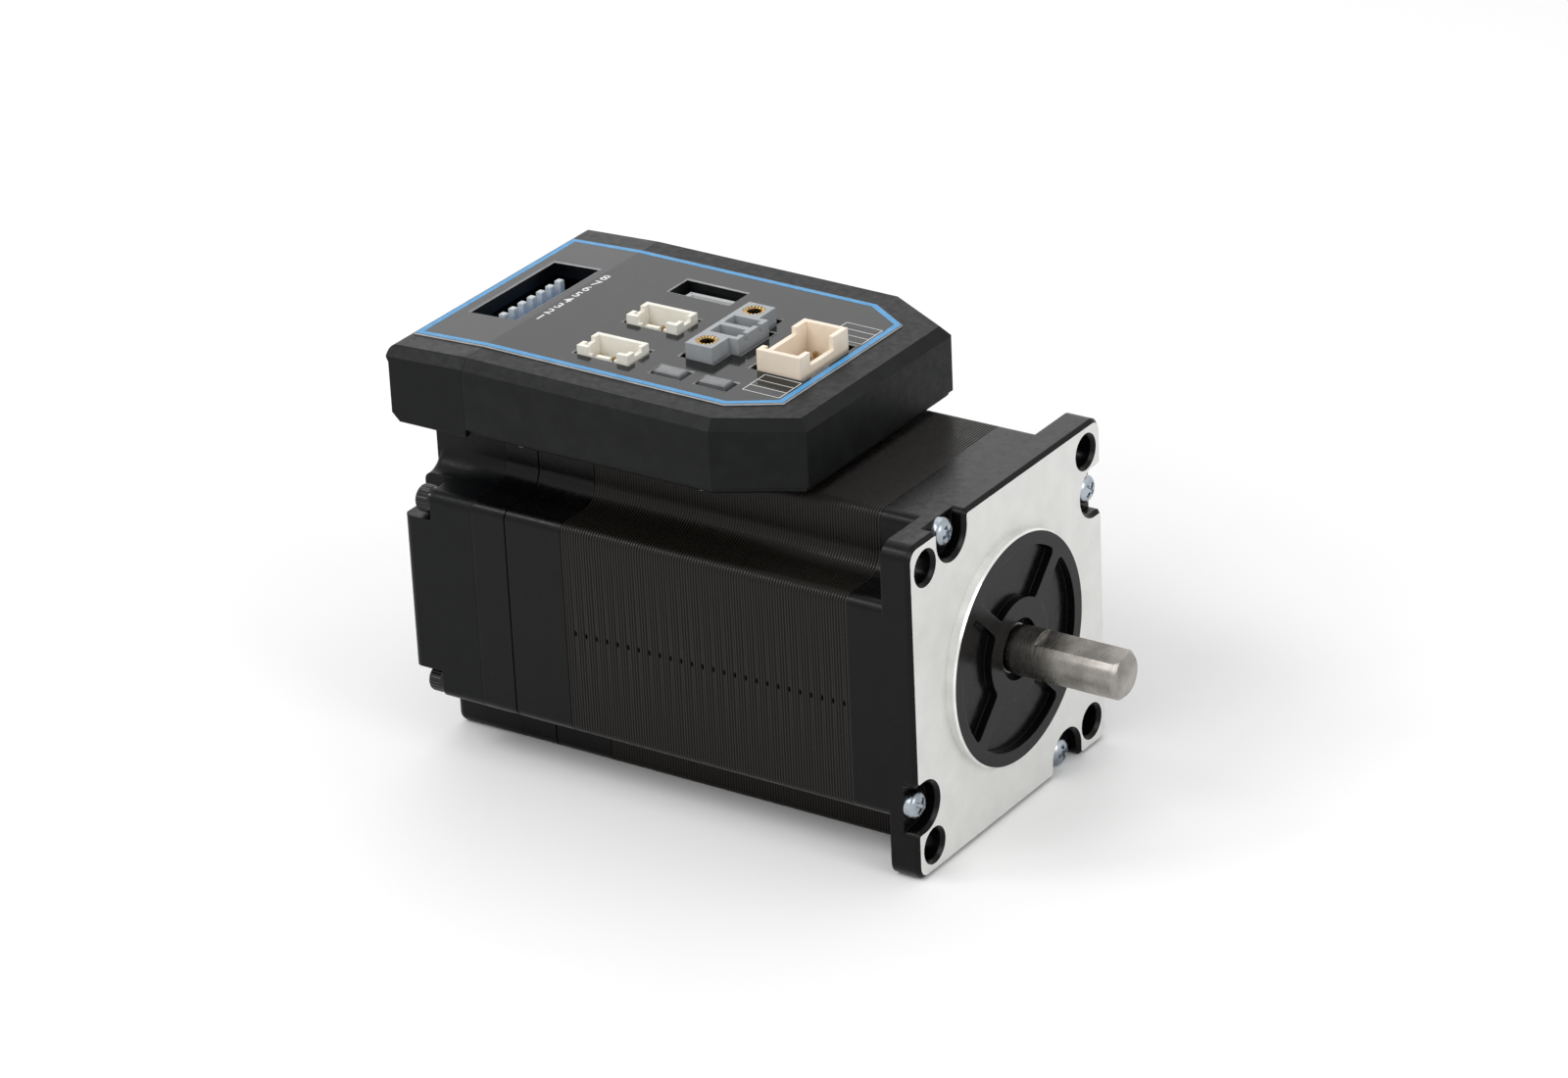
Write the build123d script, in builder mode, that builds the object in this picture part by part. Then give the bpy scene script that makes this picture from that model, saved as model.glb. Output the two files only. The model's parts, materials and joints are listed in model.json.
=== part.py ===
from build123d import *
import os
from math import atan2, cos, degrees, hypot, radians, sin, sqrt

# Integrated stepper motor with its drive box on top, in millimetres.
# The origin is on the shaft axis at the front face of the mounting flange.
# +X runs out along the shaft, +Z points up and the signal side of the box is at the front.

# Spare by which a cutting shape runs past a face, and reach within which an edge is picked
overrun = 1.0
pick = 0.05

# Motor body
body_width = 56.4
arm_width = 36.4
body_corner_radius = 1.8
throat_radius = 3.3
bell_depth = 6.4
stack_length = 53.0
rear_bell_length = 10.7
adapter_length = 6.4
cover_length = 13.5
cavity_diameter = 45.0
front_floor = 1.5
rear_floor = 4.6
rear_seat_wall = 1.3

# Mounting flange
flange_thickness = 5.0
flange_corner_radius = 2.5
hole_spacing = 47.14
hole_diameter = 5.0
hole_chamfer = 0.6
pilot_diameter = 38.1
pilot_height = 1.6
pilot_chamfer = 0.3
pocket_outer_diameter = 33.2
hub_diameter = 16.6
spoke_width = 2.4
pocket_depth = 1.4
pocket_corner_radius = 0.9
shaft_hole_diameter = 10.0

# Tie screws and the notches that hold their heads
screw_edge_distance = 2.3
screw_diameter = 2.5
screw_clearance = 0.2
thread_clearance = 0.03
pan_head_diameter = 4.6
pan_head_height = 1.9
pan_head_edge = 0.6
cross_length = 2.6
cross_width = 0.55
cross_depth = 1.0
notch_width = 7.6
notch_depth = 2.5
notch_mouth_radius = 1.0
thread_depth = 5.0
thread_spare = 0.6

# Cover screws
cap_head_diameter = 4.5
cap_head_height = 2.5
hex_socket_width = 2.0
hex_socket_depth = 1.3
cap_head_edge = 0.3
washer_thickness = 0.6
washer_diameter = 4.4
washer_split = 0.5
washer_turn = 35.0
recess_depth = 5.4
recess_width = 6.3
recess_height = 4.9
recess_corner_radius = 2.0
cover_edge_radius = 1.4
cover_back_wall = 2.5
duct_wall = 3.0
duct_inset = 5.0

# Shaft
shaft_diameter = 8.0
shaft_reach = 20.6
shaft_end_chamfer = 0.6
shaft_core_diameter = 10.0
shaft_tail_diameter = 5.0
flat_length = 14.6
flat_depth = 0.8
flat_turn = 6.0
shaft_seam_turn = 28.5
relief_width = 1.0
relief_depth = 0.2

# Bearings
bearing_outer_diameter = 19.0
bearing_width = 6.0
bearing_front = 1.0
bearing_boss_wall = 2.5
bearing_boss_spare = 1.6
ball_diameter = 2.6
ball_count = 7
ball_clearance = 0.15
ball_circle_diameter = 13.5
inner_ring_diameter = 11.6
outer_ring_bore = 15.4
cage_wall = 0.7
cage_width = 4.4
pocket_clearance = 0.08
spring_thickness = 0.6
spring_gap = 0.2

# Stator and rotor
stator_bore = 31.0
air_gap = 0.3
yoke_bore = 44.0
shoe_depth = 1.8
pole_count = 8
pole_width = 5.5
slot_opening = 2.4
pole_teeth = 5
rotor_teeth = 50
tooth_depth = 0.7
tooth_groove = 1.0
magnet_length = 2.4
magnet_step = 0.3
rotor_recess = 1.6
insulator_thickness = 0.8
insulator_wall = 0.7
insulator_height = 3.6
insulator_gap = 0.3
guard_overhang = 2.0
coil_thickness = 2.2
coil_clearance = 0.12
coil_gap = 0.3

# Encoder
encoder_hub_diameter = 12.0
encoder_hub_length = 3.9
encoder_hub_chamfer = 0.3
hub_gap = 0.5
encoder_magnet_diameter = 8.0
encoder_magnet_length = 2.5
encoder_chip_size = 5.0
encoder_chip_height = 1.2
encoder_board_width = 46.0
encoder_board_height = 26.0
encoder_opening_diameter = 36.0
board_thickness = 1.6
board_corner_radius = 2.0
board_room = 0.5

# Drive box, with rises above its floor
box_width = 56.0
box_front = -22.2
box_nose_width = 41.4
box_chamfer_length = 13.1
box_overhang = 0.8
box_lift = 1.2
base_band = 1.3
base_inset = 0.7
box_front_rise = 12.2
box_seam_rise = 12.95
box_rear_rise = 12.35
box_bevel = 1.6
box_wall = 2.0
box_roof = 1.9
box_fit = 0.15
box_edge_radius = 0.5
base_plate_thickness = 2.0
tongue_length = 3.0
tongue_wall = 1.2
lip_height = 2.4
lip_reach = 0.5
lip_slant = 1.0
lip_edge_radius = 1.0
tail_bevel = 1.4
base_chamfer = 0.5

# Control board
board_rise = 4.2
board_width = 39.6
board_front_margin = 3.6
board_rear_margin = 1.0
board_shoulder_lead = 4.0
board_nose_inset = 3.0
board_boss_diameter = 5.0
board_screw_front = 7.3
board_screw_rear = 6.5
board_screw_y = 16.0
case_screw_front = 16.8
case_screw_rear = 8.5
case_screw_y = 23.2
post_diameter = 4.8
post_rib_width = 1.2
small_screw_length = 5.0
small_head_diameter = 4.2
small_head_height = 1.2
low_head_height = 0.9
small_screw_gap = 0.3

# Face label
label_thickness = 0.25
label_width = 43.4
label_nose_width = 33.8
label_front = -28.8
label_chamfer_end = -36.5
label_inset = 0.6

# DIP switch
dip_window_length = 9.2
dip_window_width = 23.4
dip_window_inset = 8.2
dip_window_y = 0.5
dip_count = 8
dip_pitch = 2.54
dip_body_length = 7.0
dip_body_margin = 0.8
dip_body_inset = 7.3
dip_body_rise = 8.2
paddle_size = 1.15
paddle_rise = 11.1
paddle_travel = 1.8
paddle_clearance = 0.2
paddle_sink = 1.6
paddle_edge_radius = 0.25

# Serial and debug sockets
socket_x = -62.6
socket_window_length = 10.8
socket_window_width = 7.0
serial_1_y = -13.7
serial_2_y = -0.2
serial_length = 9.6
serial_width = 5.8
serial_rise = 14.2
serial_pins = 3
serial_pin_pitch = 2.5
socket_wall = 0.8
serial_cavity_depth = 6.0
low_wall_length = 5.4
low_wall_depth = 1.2
key_slot_spacing = 3.4
key_slot_width = 0.9
key_slot_depth = 3.0
end_notch_width = 2.0
end_notch_depth = 0.8
debug_y = 12.7
debug_window_length = 11.9
debug_window_width = 5.8
debug_length = 9.9
debug_width = 4.5
debug_rise = 11.2
debug_pins = 4
debug_pin_pitch = 2.0
debug_cavity_depth = 4.6
pin_width = 0.6
pin_gap = 2.2

# Power header
power_x = -49.4
power_y = -0.4
power_length = 5.0
power_width = 18.0
power_bulge = 1.7
power_bulge_width = 8.6
power_rise = 15.0
power_cell_width = 2.9
power_cell_pitch = 4.0
power_wall = 0.9
power_cavity_depth = 6.0
power_window_margin = 0.9
insert_spacing = 13.2
insert_diameter = 3.6
insert_bore = 2.0
insert_length = 6.4
power_pin_width = 1.0
power_slit_width = 0.9
power_slit_depth = 1.4
insert_chamfer = 0.25

# Signal header
signal_x = -35.7
signal_y = -1.0
signal_length = 8.0
signal_width = 13.6
signal_rise = 15.7
signal_wall = 0.9
signal_cavity_depth = 7.6
signal_window_length = 10.1
signal_window_width = 15.4
signal_pins_in_row = 6
signal_pin_pitch = 2.0
signal_rear_slot_width = 8.0
signal_rear_slot_depth = 1.2
signal_rear_slot_shift = -0.9
signal_front_slot_width = 6.6
signal_front_slot_depth = 2.3
signal_front_slot_shift = -0.6
signal_pin_height = 3.2

# Light pipes
pipe_y = -15.9
pipe_x = (-50.2, -41.8)
pipe_length = 4.9
pipe_width = 2.5
pipe_rise = 13.25
pipe_fit = 0.15
pipe_window_length = 6.2
pipe_window_width = 3.8
pipe_flange = 0.6
pipe_flange_thickness = 1.0
pipe_chamfer = 0.2
pipe_gap = 0.2
led_height = 1.0
led_length = 2.0
led_width = 1.2

# Phase leads
lead_diameter = 1.4
lead_count = 4
lead_spacing = 2.0
lead_level = 19.3
lead_turn_inset = 6.5
lead_bend = 4.5
lead_slot_margin = 0.5
lead_gap = 0.3

# Places along the shaft
flange_back = -flange_thickness
stack_front = flange_back - bell_depth
stack_rear = stack_front - stack_length
bell_rear = stack_rear - rear_bell_length
adapter_rear = bell_rear - adapter_length
cover_rear = adapter_rear - cover_length
bearing_front_end = -bearing_front
bearing_front_back = bearing_front_end - bearing_width
rear_seat_end = bell_rear + rear_seat_wall
spring_front = rear_seat_end + spring_thickness
bearing_rear_end = spring_front
bearing_rear_front = bearing_rear_end + bearing_width

# Places across the shaft
half_body = body_width / 2
tie_offset = arm_width / 2 - screw_edge_distance
tie_reach = half_body - screw_edge_distance
tie_radius = hypot(tie_offset, tie_reach)
tie_angle = degrees(atan2(tie_reach, -tie_offset))
seat_radius = bearing_outer_diameter / 2
boss_radius = seat_radius + bearing_boss_wall
cavity_radius = cavity_diameter / 2
recess_floor = cover_rear + recess_depth
clearance_radius = screw_diameter / 2 + screw_clearance
thread_radius = screw_diameter / 2 + thread_clearance

duct_level = lead_level + lead_diameter
encoder_screw_y = (encoder_board_width + encoder_opening_diameter) / 4
lead_slot_width = (lead_count - 1) * lead_spacing + lead_diameter + 2 * lead_slot_margin
lead_slot_height = lead_diameter + 2 * lead_slot_margin

# Places in the drive box
box_seam = adapter_rear
box_rear = cover_rear - box_overhang
box_floor = half_body + box_lift
box_top_front = box_floor + box_front_rise
box_top_seam = box_floor + box_seam_rise
box_top_rear = box_floor + box_rear_rise
board_level = box_floor + board_rise
dip_body_top = box_floor + dip_body_rise
paddle_top = box_floor + paddle_rise
serial_top = box_floor + serial_rise
debug_top = box_floor + debug_rise
power_top = box_floor + power_rise
signal_top = box_floor + signal_rise
pipe_top = box_floor + pipe_rise
board_screw_x = (box_front - board_screw_front, box_seam + board_screw_rear)
case_screw_x = (box_front - case_screw_front, box_seam + case_screw_rear)
label_rear = box_rear + label_inset
dip_window_x = box_rear + dip_window_inset
dip_body_x = box_rear + dip_body_inset
lead_turn_x = adapter_rear - lead_turn_inset
box_half = box_width / 2
nose_half = box_nose_width / 2
shoulder = box_front - box_chamfer_length
shell_bottom = box_floor + base_band
base_top = box_floor + base_plate_thickness
board_bottom = board_level - board_thickness
board_front = box_front - board_front_margin
board_rear = box_rear + box_wall + board_rear_margin
ceiling = box_top_front - box_roof
tail_rear_top = box_rear - lip_reach
window_cut = box_roof + 4 * overrun


def draw_outline(front, rear, chamfer_end, half, nose):
    """Plan of a slab with two long chamfers at its front corners, in the sketch that is open."""
    rear_side = [(rear, half), (rear, -half)]
    front_side = [(chamfer_end, -half), (front, -nose), (front, nose), (chamfer_end, half)]
    Polygon(*rear_side, *front_side, align=None)


def roof_height(x):
    """Height of the crested roof, which peaks at the seam between the two shells."""
    if x > box_seam:
        share = (box_front - x) / (box_front - box_seam)
        return box_top_front + share * (box_top_seam - box_top_front)
    share = (box_seam - x) / (box_seam - tail_rear_top)
    return box_top_seam + share * (box_top_rear - box_top_seam)


def draw_case_windows():
    """Windows in the front shell and label for everything that plugs in or shines through."""
    with Locations((socket_x, serial_1_y), (socket_x, serial_2_y)):
        Rectangle(socket_window_length, socket_window_width)
    with Locations((socket_x, debug_y)):
        Rectangle(debug_window_length, debug_window_width)
    margin = 2 * power_window_margin
    with Locations((power_x, power_y)):
        Rectangle(power_length + margin, power_width + margin)
    with Locations((power_x + power_bulge / 2, power_y)):
        Rectangle(power_length + power_bulge + margin, power_bulge_width + margin)
    with Locations((signal_x, signal_y)):
        Rectangle(signal_window_length, signal_window_width)


# Cross-shaped outline shared by the castings and the stack
with BuildSketch() as body_outline:
    Rectangle(body_width, arm_width)
    Rectangle(arm_width, body_width)
    throat_reach = hypot(arm_width, arm_width) / 2
    corner_reach = hypot(body_width, arm_width) / 2
    throats = body_outline.vertices().filter_by(lambda v: hypot(v.X, v.Y) < throat_reach + pick)
    fillet(throats, throat_radius)
    arm_corners = body_outline.vertices().filter_by(lambda v: hypot(v.X, v.Y) > corner_reach - pick)
    fillet(arm_corners, body_corner_radius)

# Front flange with the bearing seat
with BuildPart() as front_flange:
    with BuildSketch(Plane.YZ.offset(flange_back)):
        RectangleRounded(body_width, body_width, flange_corner_radius)
    extrude(amount=flange_thickness - notch_depth)
    # The front layer is open round the tie screw heads
    with BuildSketch(Plane.YZ.offset(-notch_depth)) as front_layer:
        RectangleRounded(body_width, body_width, flange_corner_radius)
        with PolarLocations(tie_radius, 4, start_angle=tie_angle):
            Circle(notch_width / 2, mode=Mode.SUBTRACT)
            Rectangle(
                notch_width,
                notch_width,
                rotation=-tie_angle,
                align=(Align.CENTER, Align.MIN),
                mode=Mode.SUBTRACT,
            )
        mouth_limit = half_body - flange_corner_radius - pick
        mouths = front_layer.vertices().filter_by(
            lambda v: max(abs(v.X), abs(v.Y)) > half_body - pick and min(abs(v.X), abs(v.Y)) < mouth_limit
        )
        fillet(mouths, notch_mouth_radius)
    extrude(amount=notch_depth)
    # Body behind the flange
    with BuildSketch(Plane.YZ.offset(stack_front)):
        add(body_outline.sketch)
    extrude(amount=bell_depth)
    # Pilot
    with BuildSketch(Plane.YZ):
        Circle(pilot_diameter / 2)
    extrude(amount=pilot_height)
    rim = front_flange.edges().filter_by(GeomType.CIRCLE).sort_by(Axis.X)[-1]
    chamfer(rim, pilot_chamfer)
    # Coil cavity, bearing boss, bearing seat and shaft hole, as one turned hollow
    cavity_floor = flange_back - front_floor
    boss_end = bearing_front_back - bearing_boss_spare
    with BuildSketch(Plane.XY):
        with BuildLine():
            Polyline(
                (stack_front, 0),
                (stack_front, cavity_radius),
                (cavity_floor, cavity_radius),
                (cavity_floor, boss_radius),
                (boss_end, boss_radius),
                (boss_end, seat_radius),
                (bearing_front_end, seat_radius),
                (bearing_front_end, shaft_hole_diameter / 2),
                (pilot_height, shaft_hole_diameter / 2),
                (pilot_height, 0),
                close=True,
            )
        make_face()
    revolve(axis=Axis.X, mode=Mode.SUBTRACT)
    # Four sector pockets between the hub, the spokes and the rim
    with BuildSketch(Plane.YZ.offset(pilot_height)) as pockets:
        Circle(pocket_outer_diameter / 2)
        Circle(hub_diameter / 2, mode=Mode.SUBTRACT)
        with PolarLocations(0, 4, start_angle=45):
            Rectangle(
                pocket_outer_diameter,
                spoke_width,
                align=(Align.MIN, Align.CENTER),
                mode=Mode.SUBTRACT,
            )
        fillet(pockets.vertices(), pocket_corner_radius)
    extrude(amount=-pocket_depth, mode=Mode.SUBTRACT)
    # Mounting holes with their front chamfers
    with BuildSketch(Plane.YZ):
        with GridLocations(hole_spacing, hole_spacing, 2, 2):
            Circle(hole_diameter / 2)
    extrude(amount=-flange_thickness, mode=Mode.SUBTRACT)
    hole_rims = front_flange.edges().filter_by(
        lambda e: e.geom_type == GeomType.CIRCLE
        and abs(e.radius - hole_diameter / 2) < pick
        and abs(e.center().X) < pick
    )
    chamfer(hole_rims, hole_chamfer)
    # Clearance holes for the tie screws
    with BuildSketch(Plane.YZ.offset(-notch_depth)):
        with PolarLocations(tie_radius, 4, start_angle=tie_angle):
            Circle(clearance_radius)
    extrude(amount=stack_front + notch_depth, mode=Mode.SUBTRACT)

# Stator stack with eight toothed poles
shoe_radius = stator_bore / 2 + shoe_depth
yoke_radius = yoke_bore / 2
tooth_pitch = 360 / rotor_teeth
with BuildPart() as stator_stack:
    with BuildSketch(Plane.YZ.offset(stack_rear)):
        add(body_outline.sketch)
        Circle(yoke_radius, mode=Mode.SUBTRACT)
        Circle(shoe_radius)
        with PolarLocations(0, pole_count):
            Rectangle(yoke_radius + overrun / 2, pole_width, align=(Align.MIN, Align.CENTER))
        Circle(stator_bore / 2, mode=Mode.SUBTRACT)
        with PolarLocations(stator_bore / 2 - overrun, pole_count, start_angle=180 / pole_count):
            Rectangle(
                shoe_depth + 2 * overrun,
                slot_opening,
                align=(Align.MIN, Align.CENTER),
                mode=Mode.SUBTRACT,
            )
        for groove in range(pole_teeth - 1):
            turn = (groove - (pole_teeth - 2) / 2) * tooth_pitch
            with PolarLocations(stator_bore / 2 - overrun, pole_count, start_angle=turn):
                Rectangle(
                    tooth_depth + overrun,
                    tooth_groove,
                    align=(Align.MIN, Align.CENTER),
                    mode=Mode.SUBTRACT,
                )
        with PolarLocations(tie_radius, 4, start_angle=tie_angle):
            Circle(clearance_radius, mode=Mode.SUBTRACT)
    extrude(amount=stack_length)

# Coil insulators on both ends of the stack, each a guard ring and eight arms that end in a guard wall
guard_ring_radius = yoke_radius - insulator_gap
guard_ring_bore = guard_ring_radius - insulator_wall
arm_start = shoe_radius - insulator_wall


def draw_guards():
    """Guard ring outside the coils and guard walls inside them."""
    Circle(guard_ring_radius)
    Circle(guard_ring_bore, mode=Mode.SUBTRACT)
    with PolarLocations(arm_start + insulator_wall / 2, pole_count):
        Rectangle(insulator_wall, pole_width + 2 * guard_overhang)


with BuildPart() as insulator_front:
    with BuildSketch(Plane.YZ.offset(stack_front)):
        draw_guards()
        with PolarLocations(arm_start, pole_count):
            Rectangle(
                guard_ring_bore + insulator_wall / 2 - arm_start,
                pole_width,
                align=(Align.MIN, Align.CENTER),
            )
    extrude(amount=insulator_thickness)
    with BuildSketch(Plane.YZ.offset(stack_front + insulator_thickness)):
        draw_guards()
    extrude(amount=insulator_height - insulator_thickness)

stack_middle = (stack_front + stack_rear) / 2
insulator_rear = mirror(insulator_front.part, about=Plane.YZ.offset(stack_middle))
insulator_rear.label = "insulator_rear"

# Eight coils, each wound round one pole
coil_inner_radius = shoe_radius + coil_gap
coil_bore_width = pole_width + 2 * coil_clearance
coil_half_width = coil_bore_width / 2 + coil_thickness
guard_radius = guard_ring_bore - coil_clearance
coil_depth = sqrt(guard_radius**2 - coil_half_width**2) - coil_inner_radius
coil_bore_length = stack_length + 2 * insulator_thickness + 2 * coil_clearance
coils = []
for number in range(1, pole_count + 1):
    turn = 360 / pole_count * (number - 1)
    outward = Vector(0, cos(radians(turn)), sin(radians(turn)))
    coil_origin = Vector(stack_middle, 0, 0) + outward * coil_inner_radius
    coil_plane = Plane(origin=coil_origin, x_dir=(1, 0, 0), z_dir=outward)
    with BuildPart() as coil:
        with BuildSketch(coil_plane):
            RectangleRounded(
                coil_bore_length + 2 * coil_thickness, coil_bore_width + 2 * coil_thickness, coil_thickness
            )
            Rectangle(coil_bore_length, coil_bore_width, mode=Mode.SUBTRACT)
        extrude(amount=coil_depth)
    coil.part.label = f"coil_{number}"
    coils.append(coil.part)

# Shaft, turned, with a milled flat on its outer end
shaft_tail_end = bell_rear - encoder_hub_length + encoder_magnet_length - hub_gap
with BuildPart() as shaft:
    with BuildSketch(Plane.XY.rotated((shaft_seam_turn, 0, 0))):
        with BuildLine():
            Polyline(
                (shaft_tail_end, 0),
                (shaft_tail_end, shaft_tail_diameter / 2),
                (bearing_rear_end, shaft_tail_diameter / 2),
                (bearing_rear_end, shaft_diameter / 2),
                (bearing_rear_front, shaft_diameter / 2),
                (bearing_rear_front, shaft_core_diameter / 2),
                (bearing_front_back, shaft_core_diameter / 2),
                (bearing_front_back, shaft_diameter / 2),
                (shaft_reach, shaft_diameter / 2),
                (shaft_reach, 0),
                close=True,
            )
        make_face()
    revolve(axis=Axis.X)
    tip = shaft.edges().filter_by(GeomType.CIRCLE).sort_by(Axis.X)[-1]
    chamfer(tip, shaft_end_chamfer)
    # Grinding relief where the shaft leaves the pilot
    with BuildSketch(Plane.YZ.offset(pilot_height)):
        Circle(shaft_diameter / 2 + overrun)
        Circle(shaft_diameter / 2 - relief_depth, mode=Mode.SUBTRACT)
    extrude(amount=-relief_width, mode=Mode.SUBTRACT)
    flat_height = shaft_diameter / 2 - flat_depth
    flat_plane = Plane.XZ.rotated((flat_turn, 0, 0))
    with BuildSketch(flat_plane):
        with Locations((shaft_reach - flat_length, flat_height)):
            Rectangle(flat_length + overrun, shaft_diameter, align=(Align.MIN, Align.MIN))
    extrude(amount=shaft_diameter, both=True, mode=Mode.SUBTRACT)

# Rotor cups, 50 teeth each, and the magnet between them
cup_front_end = stack_front - rotor_recess
cup_rear_end = stack_rear + rotor_recess
rotor_middle = (cup_front_end + cup_rear_end) / 2
rotor_radius = stator_bore / 2 - air_gap
cup_length = (cup_front_end - cup_rear_end - magnet_length) / 2


def draw_rotor_cup(half_step):
    """Toothed ring; one cup is turned by half a tooth from the other."""
    Circle(rotor_radius)
    Circle(shaft_core_diameter / 2, mode=Mode.SUBTRACT)
    with PolarLocations(rotor_radius - tooth_depth, rotor_teeth, start_angle=half_step):
        Rectangle(tooth_depth + overrun, tooth_groove, align=(Align.MIN, Align.CENTER), mode=Mode.SUBTRACT)


with BuildPart() as rotor_cup_front:
    with BuildSketch(Plane.YZ.offset(cup_front_end - cup_length)):
        draw_rotor_cup(tooth_pitch / 2)
    extrude(amount=cup_length)

with BuildPart() as rotor_cup_rear:
    with BuildSketch(Plane.YZ.offset(cup_rear_end)):
        draw_rotor_cup(0)
    extrude(amount=cup_length)

with BuildPart() as rotor_magnet:
    with BuildSketch(Plane.YZ.offset(rotor_middle - magnet_length / 2)):
        Circle(rotor_radius - tooth_depth - magnet_step)
        Circle(shaft_core_diameter / 2, mode=Mode.SUBTRACT)
    extrude(amount=magnet_length)

# Ball bearings, one at each end of the shaft
bearing_parts = []
front_bearing_x = bearing_front_end - bearing_width / 2
rear_bearing_x = bearing_rear_end + bearing_width / 2
for end, middle in (("front", front_bearing_x), ("rear", rear_bearing_x)):
    groove_radius = ball_diameter / 2 + ball_clearance
    ball_circle = ball_circle_diameter / 2
    with BuildPart() as outer_ring:
        with BuildSketch(Plane.YZ.offset(middle)):
            Circle(seat_radius)
            Circle(outer_ring_bore / 2, mode=Mode.SUBTRACT)
        extrude(amount=bearing_width / 2, both=True)
        with BuildSketch(Plane.XY):
            with Locations((middle, ball_circle)):
                Circle(groove_radius)
        revolve(axis=Axis.X, mode=Mode.SUBTRACT)
    with BuildPart() as inner_ring:
        with BuildSketch(Plane.YZ.offset(middle)):
            Circle(inner_ring_diameter / 2)
            Circle(shaft_diameter / 2, mode=Mode.SUBTRACT)
        extrude(amount=bearing_width / 2, both=True)
        with BuildSketch(Plane.XY):
            with Locations((middle, ball_circle)):
                Circle(groove_radius)
        revolve(axis=Axis.X, mode=Mode.SUBTRACT)
    ball_plane = Plane.YZ.offset(middle)
    with BuildPart() as balls:
        with Locations(ball_plane):
            with PolarLocations(ball_circle, ball_count):
                Sphere(ball_diameter / 2)
    with BuildPart() as cage:
        with BuildSketch(ball_plane):
            Circle(ball_circle + cage_wall / 2)
            Circle(ball_circle - cage_wall / 2, mode=Mode.SUBTRACT)
        extrude(amount=cage_width / 2, both=True)
        with Locations(ball_plane):
            with PolarLocations(ball_circle, ball_count):
                Cylinder(
                    ball_diameter / 2 + pocket_clearance,
                    2 * cage_wall,
                    rotation=(0, 90, 0),
                    mode=Mode.SUBTRACT,
                )
    bearing = {"outer_ring": outer_ring, "inner_ring": inner_ring, "balls": balls, "cage": cage}
    for piece, builder in bearing.items():
        builder.part.label = f"{end}_bearing_{piece}"
        bearing_parts.append(builder.part)

# Wave spring behind the rear bearing
with BuildPart() as wave_spring:
    with BuildSketch(Plane.YZ.offset(rear_seat_end)):
        Circle(seat_radius - spring_gap)
        Circle(outer_ring_bore / 2, mode=Mode.SUBTRACT)
    extrude(amount=spring_thickness)

# Rear bell with the rear bearing seat
with BuildPart() as rear_bell:
    with BuildSketch(Plane.YZ.offset(bell_rear)):
        add(body_outline.sketch)
    extrude(amount=rear_bell_length)
    rear_cavity_floor = bell_rear + rear_floor
    rear_boss_end = bearing_rear_front + bearing_front
    with BuildSketch(Plane.XY):
        with BuildLine():
            Polyline(
                (stack_rear, 0),
                (stack_rear, cavity_radius),
                (rear_cavity_floor, cavity_radius),
                (rear_cavity_floor, boss_radius),
                (rear_boss_end, boss_radius),
                (rear_boss_end, seat_radius),
                (rear_seat_end, seat_radius),
                (rear_seat_end, shaft_hole_diameter / 2),
                (bell_rear, shaft_hole_diameter / 2),
                (bell_rear, 0),
                close=True,
            )
        make_face()
    revolve(axis=Axis.X, mode=Mode.SUBTRACT)
    with BuildSketch(Plane.YZ.offset(bell_rear)):
        with Locations((0, lead_level)):
            Rectangle(lead_slot_width, lead_slot_height)
    extrude(amount=rear_floor, mode=Mode.SUBTRACT)
    with BuildSketch(Plane.YZ.offset(stack_rear)):
        with PolarLocations(tie_radius, 4, start_angle=tie_angle):
            Circle(thread_radius)
    extrude(amount=-thread_depth, mode=Mode.SUBTRACT)
    with BuildSketch(Plane.YZ.offset(bell_rear)):
        with GridLocations(2 * tie_reach, 2 * tie_offset, 2, 2):
            Circle(thread_radius)
    extrude(amount=thread_depth, mode=Mode.SUBTRACT)

# Adapter ring that carries the encoder board
with BuildPart() as adapter_ring:
    with BuildSketch(Plane.YZ.offset(adapter_rear)):
        add(body_outline.sketch)
        Circle(encoder_opening_diameter / 2, mode=Mode.SUBTRACT)
        with Locations((0, lead_level + lead_slot_height / 2)):
            Rectangle(
                lead_slot_width,
                lead_slot_height * 2,
                align=(Align.CENTER, Align.MAX),
                mode=Mode.SUBTRACT,
            )
        with GridLocations(2 * tie_reach, 2 * tie_offset, 2, 2):
            Circle(clearance_radius, mode=Mode.SUBTRACT)
    extrude(amount=adapter_length)
    with BuildSketch(Plane.YZ.offset(adapter_rear)):
        with GridLocations(2 * encoder_screw_y, 1, 2, 1):
            Circle(thread_radius)
    extrude(amount=small_screw_length, mode=Mode.SUBTRACT)

# Encoder hub and magnet on the tail of the shaft
hub_front = bell_rear - hub_gap
hub_rear = hub_front - encoder_hub_length
with BuildPart() as encoder_hub:
    with BuildSketch(Plane.YZ.offset(hub_rear)):
        Circle(encoder_hub_diameter / 2)
    extrude(amount=encoder_hub_length)
    chamfer(encoder_hub.edges().filter_by(GeomType.CIRCLE), encoder_hub_chamfer)
    with BuildSketch(Plane.YZ.offset(hub_front)):
        Circle(shaft_tail_diameter / 2)
    extrude(amount=-encoder_hub_length, mode=Mode.SUBTRACT)
    with BuildSketch(Plane.YZ.offset(hub_rear)):
        Circle(encoder_magnet_diameter / 2)
    extrude(amount=encoder_magnet_length, mode=Mode.SUBTRACT)

with BuildPart() as encoder_magnet:
    with BuildSketch(Plane.YZ.offset(hub_rear)):
        Circle(encoder_magnet_diameter / 2)
    extrude(amount=shaft_tail_end - hub_rear)

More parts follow.
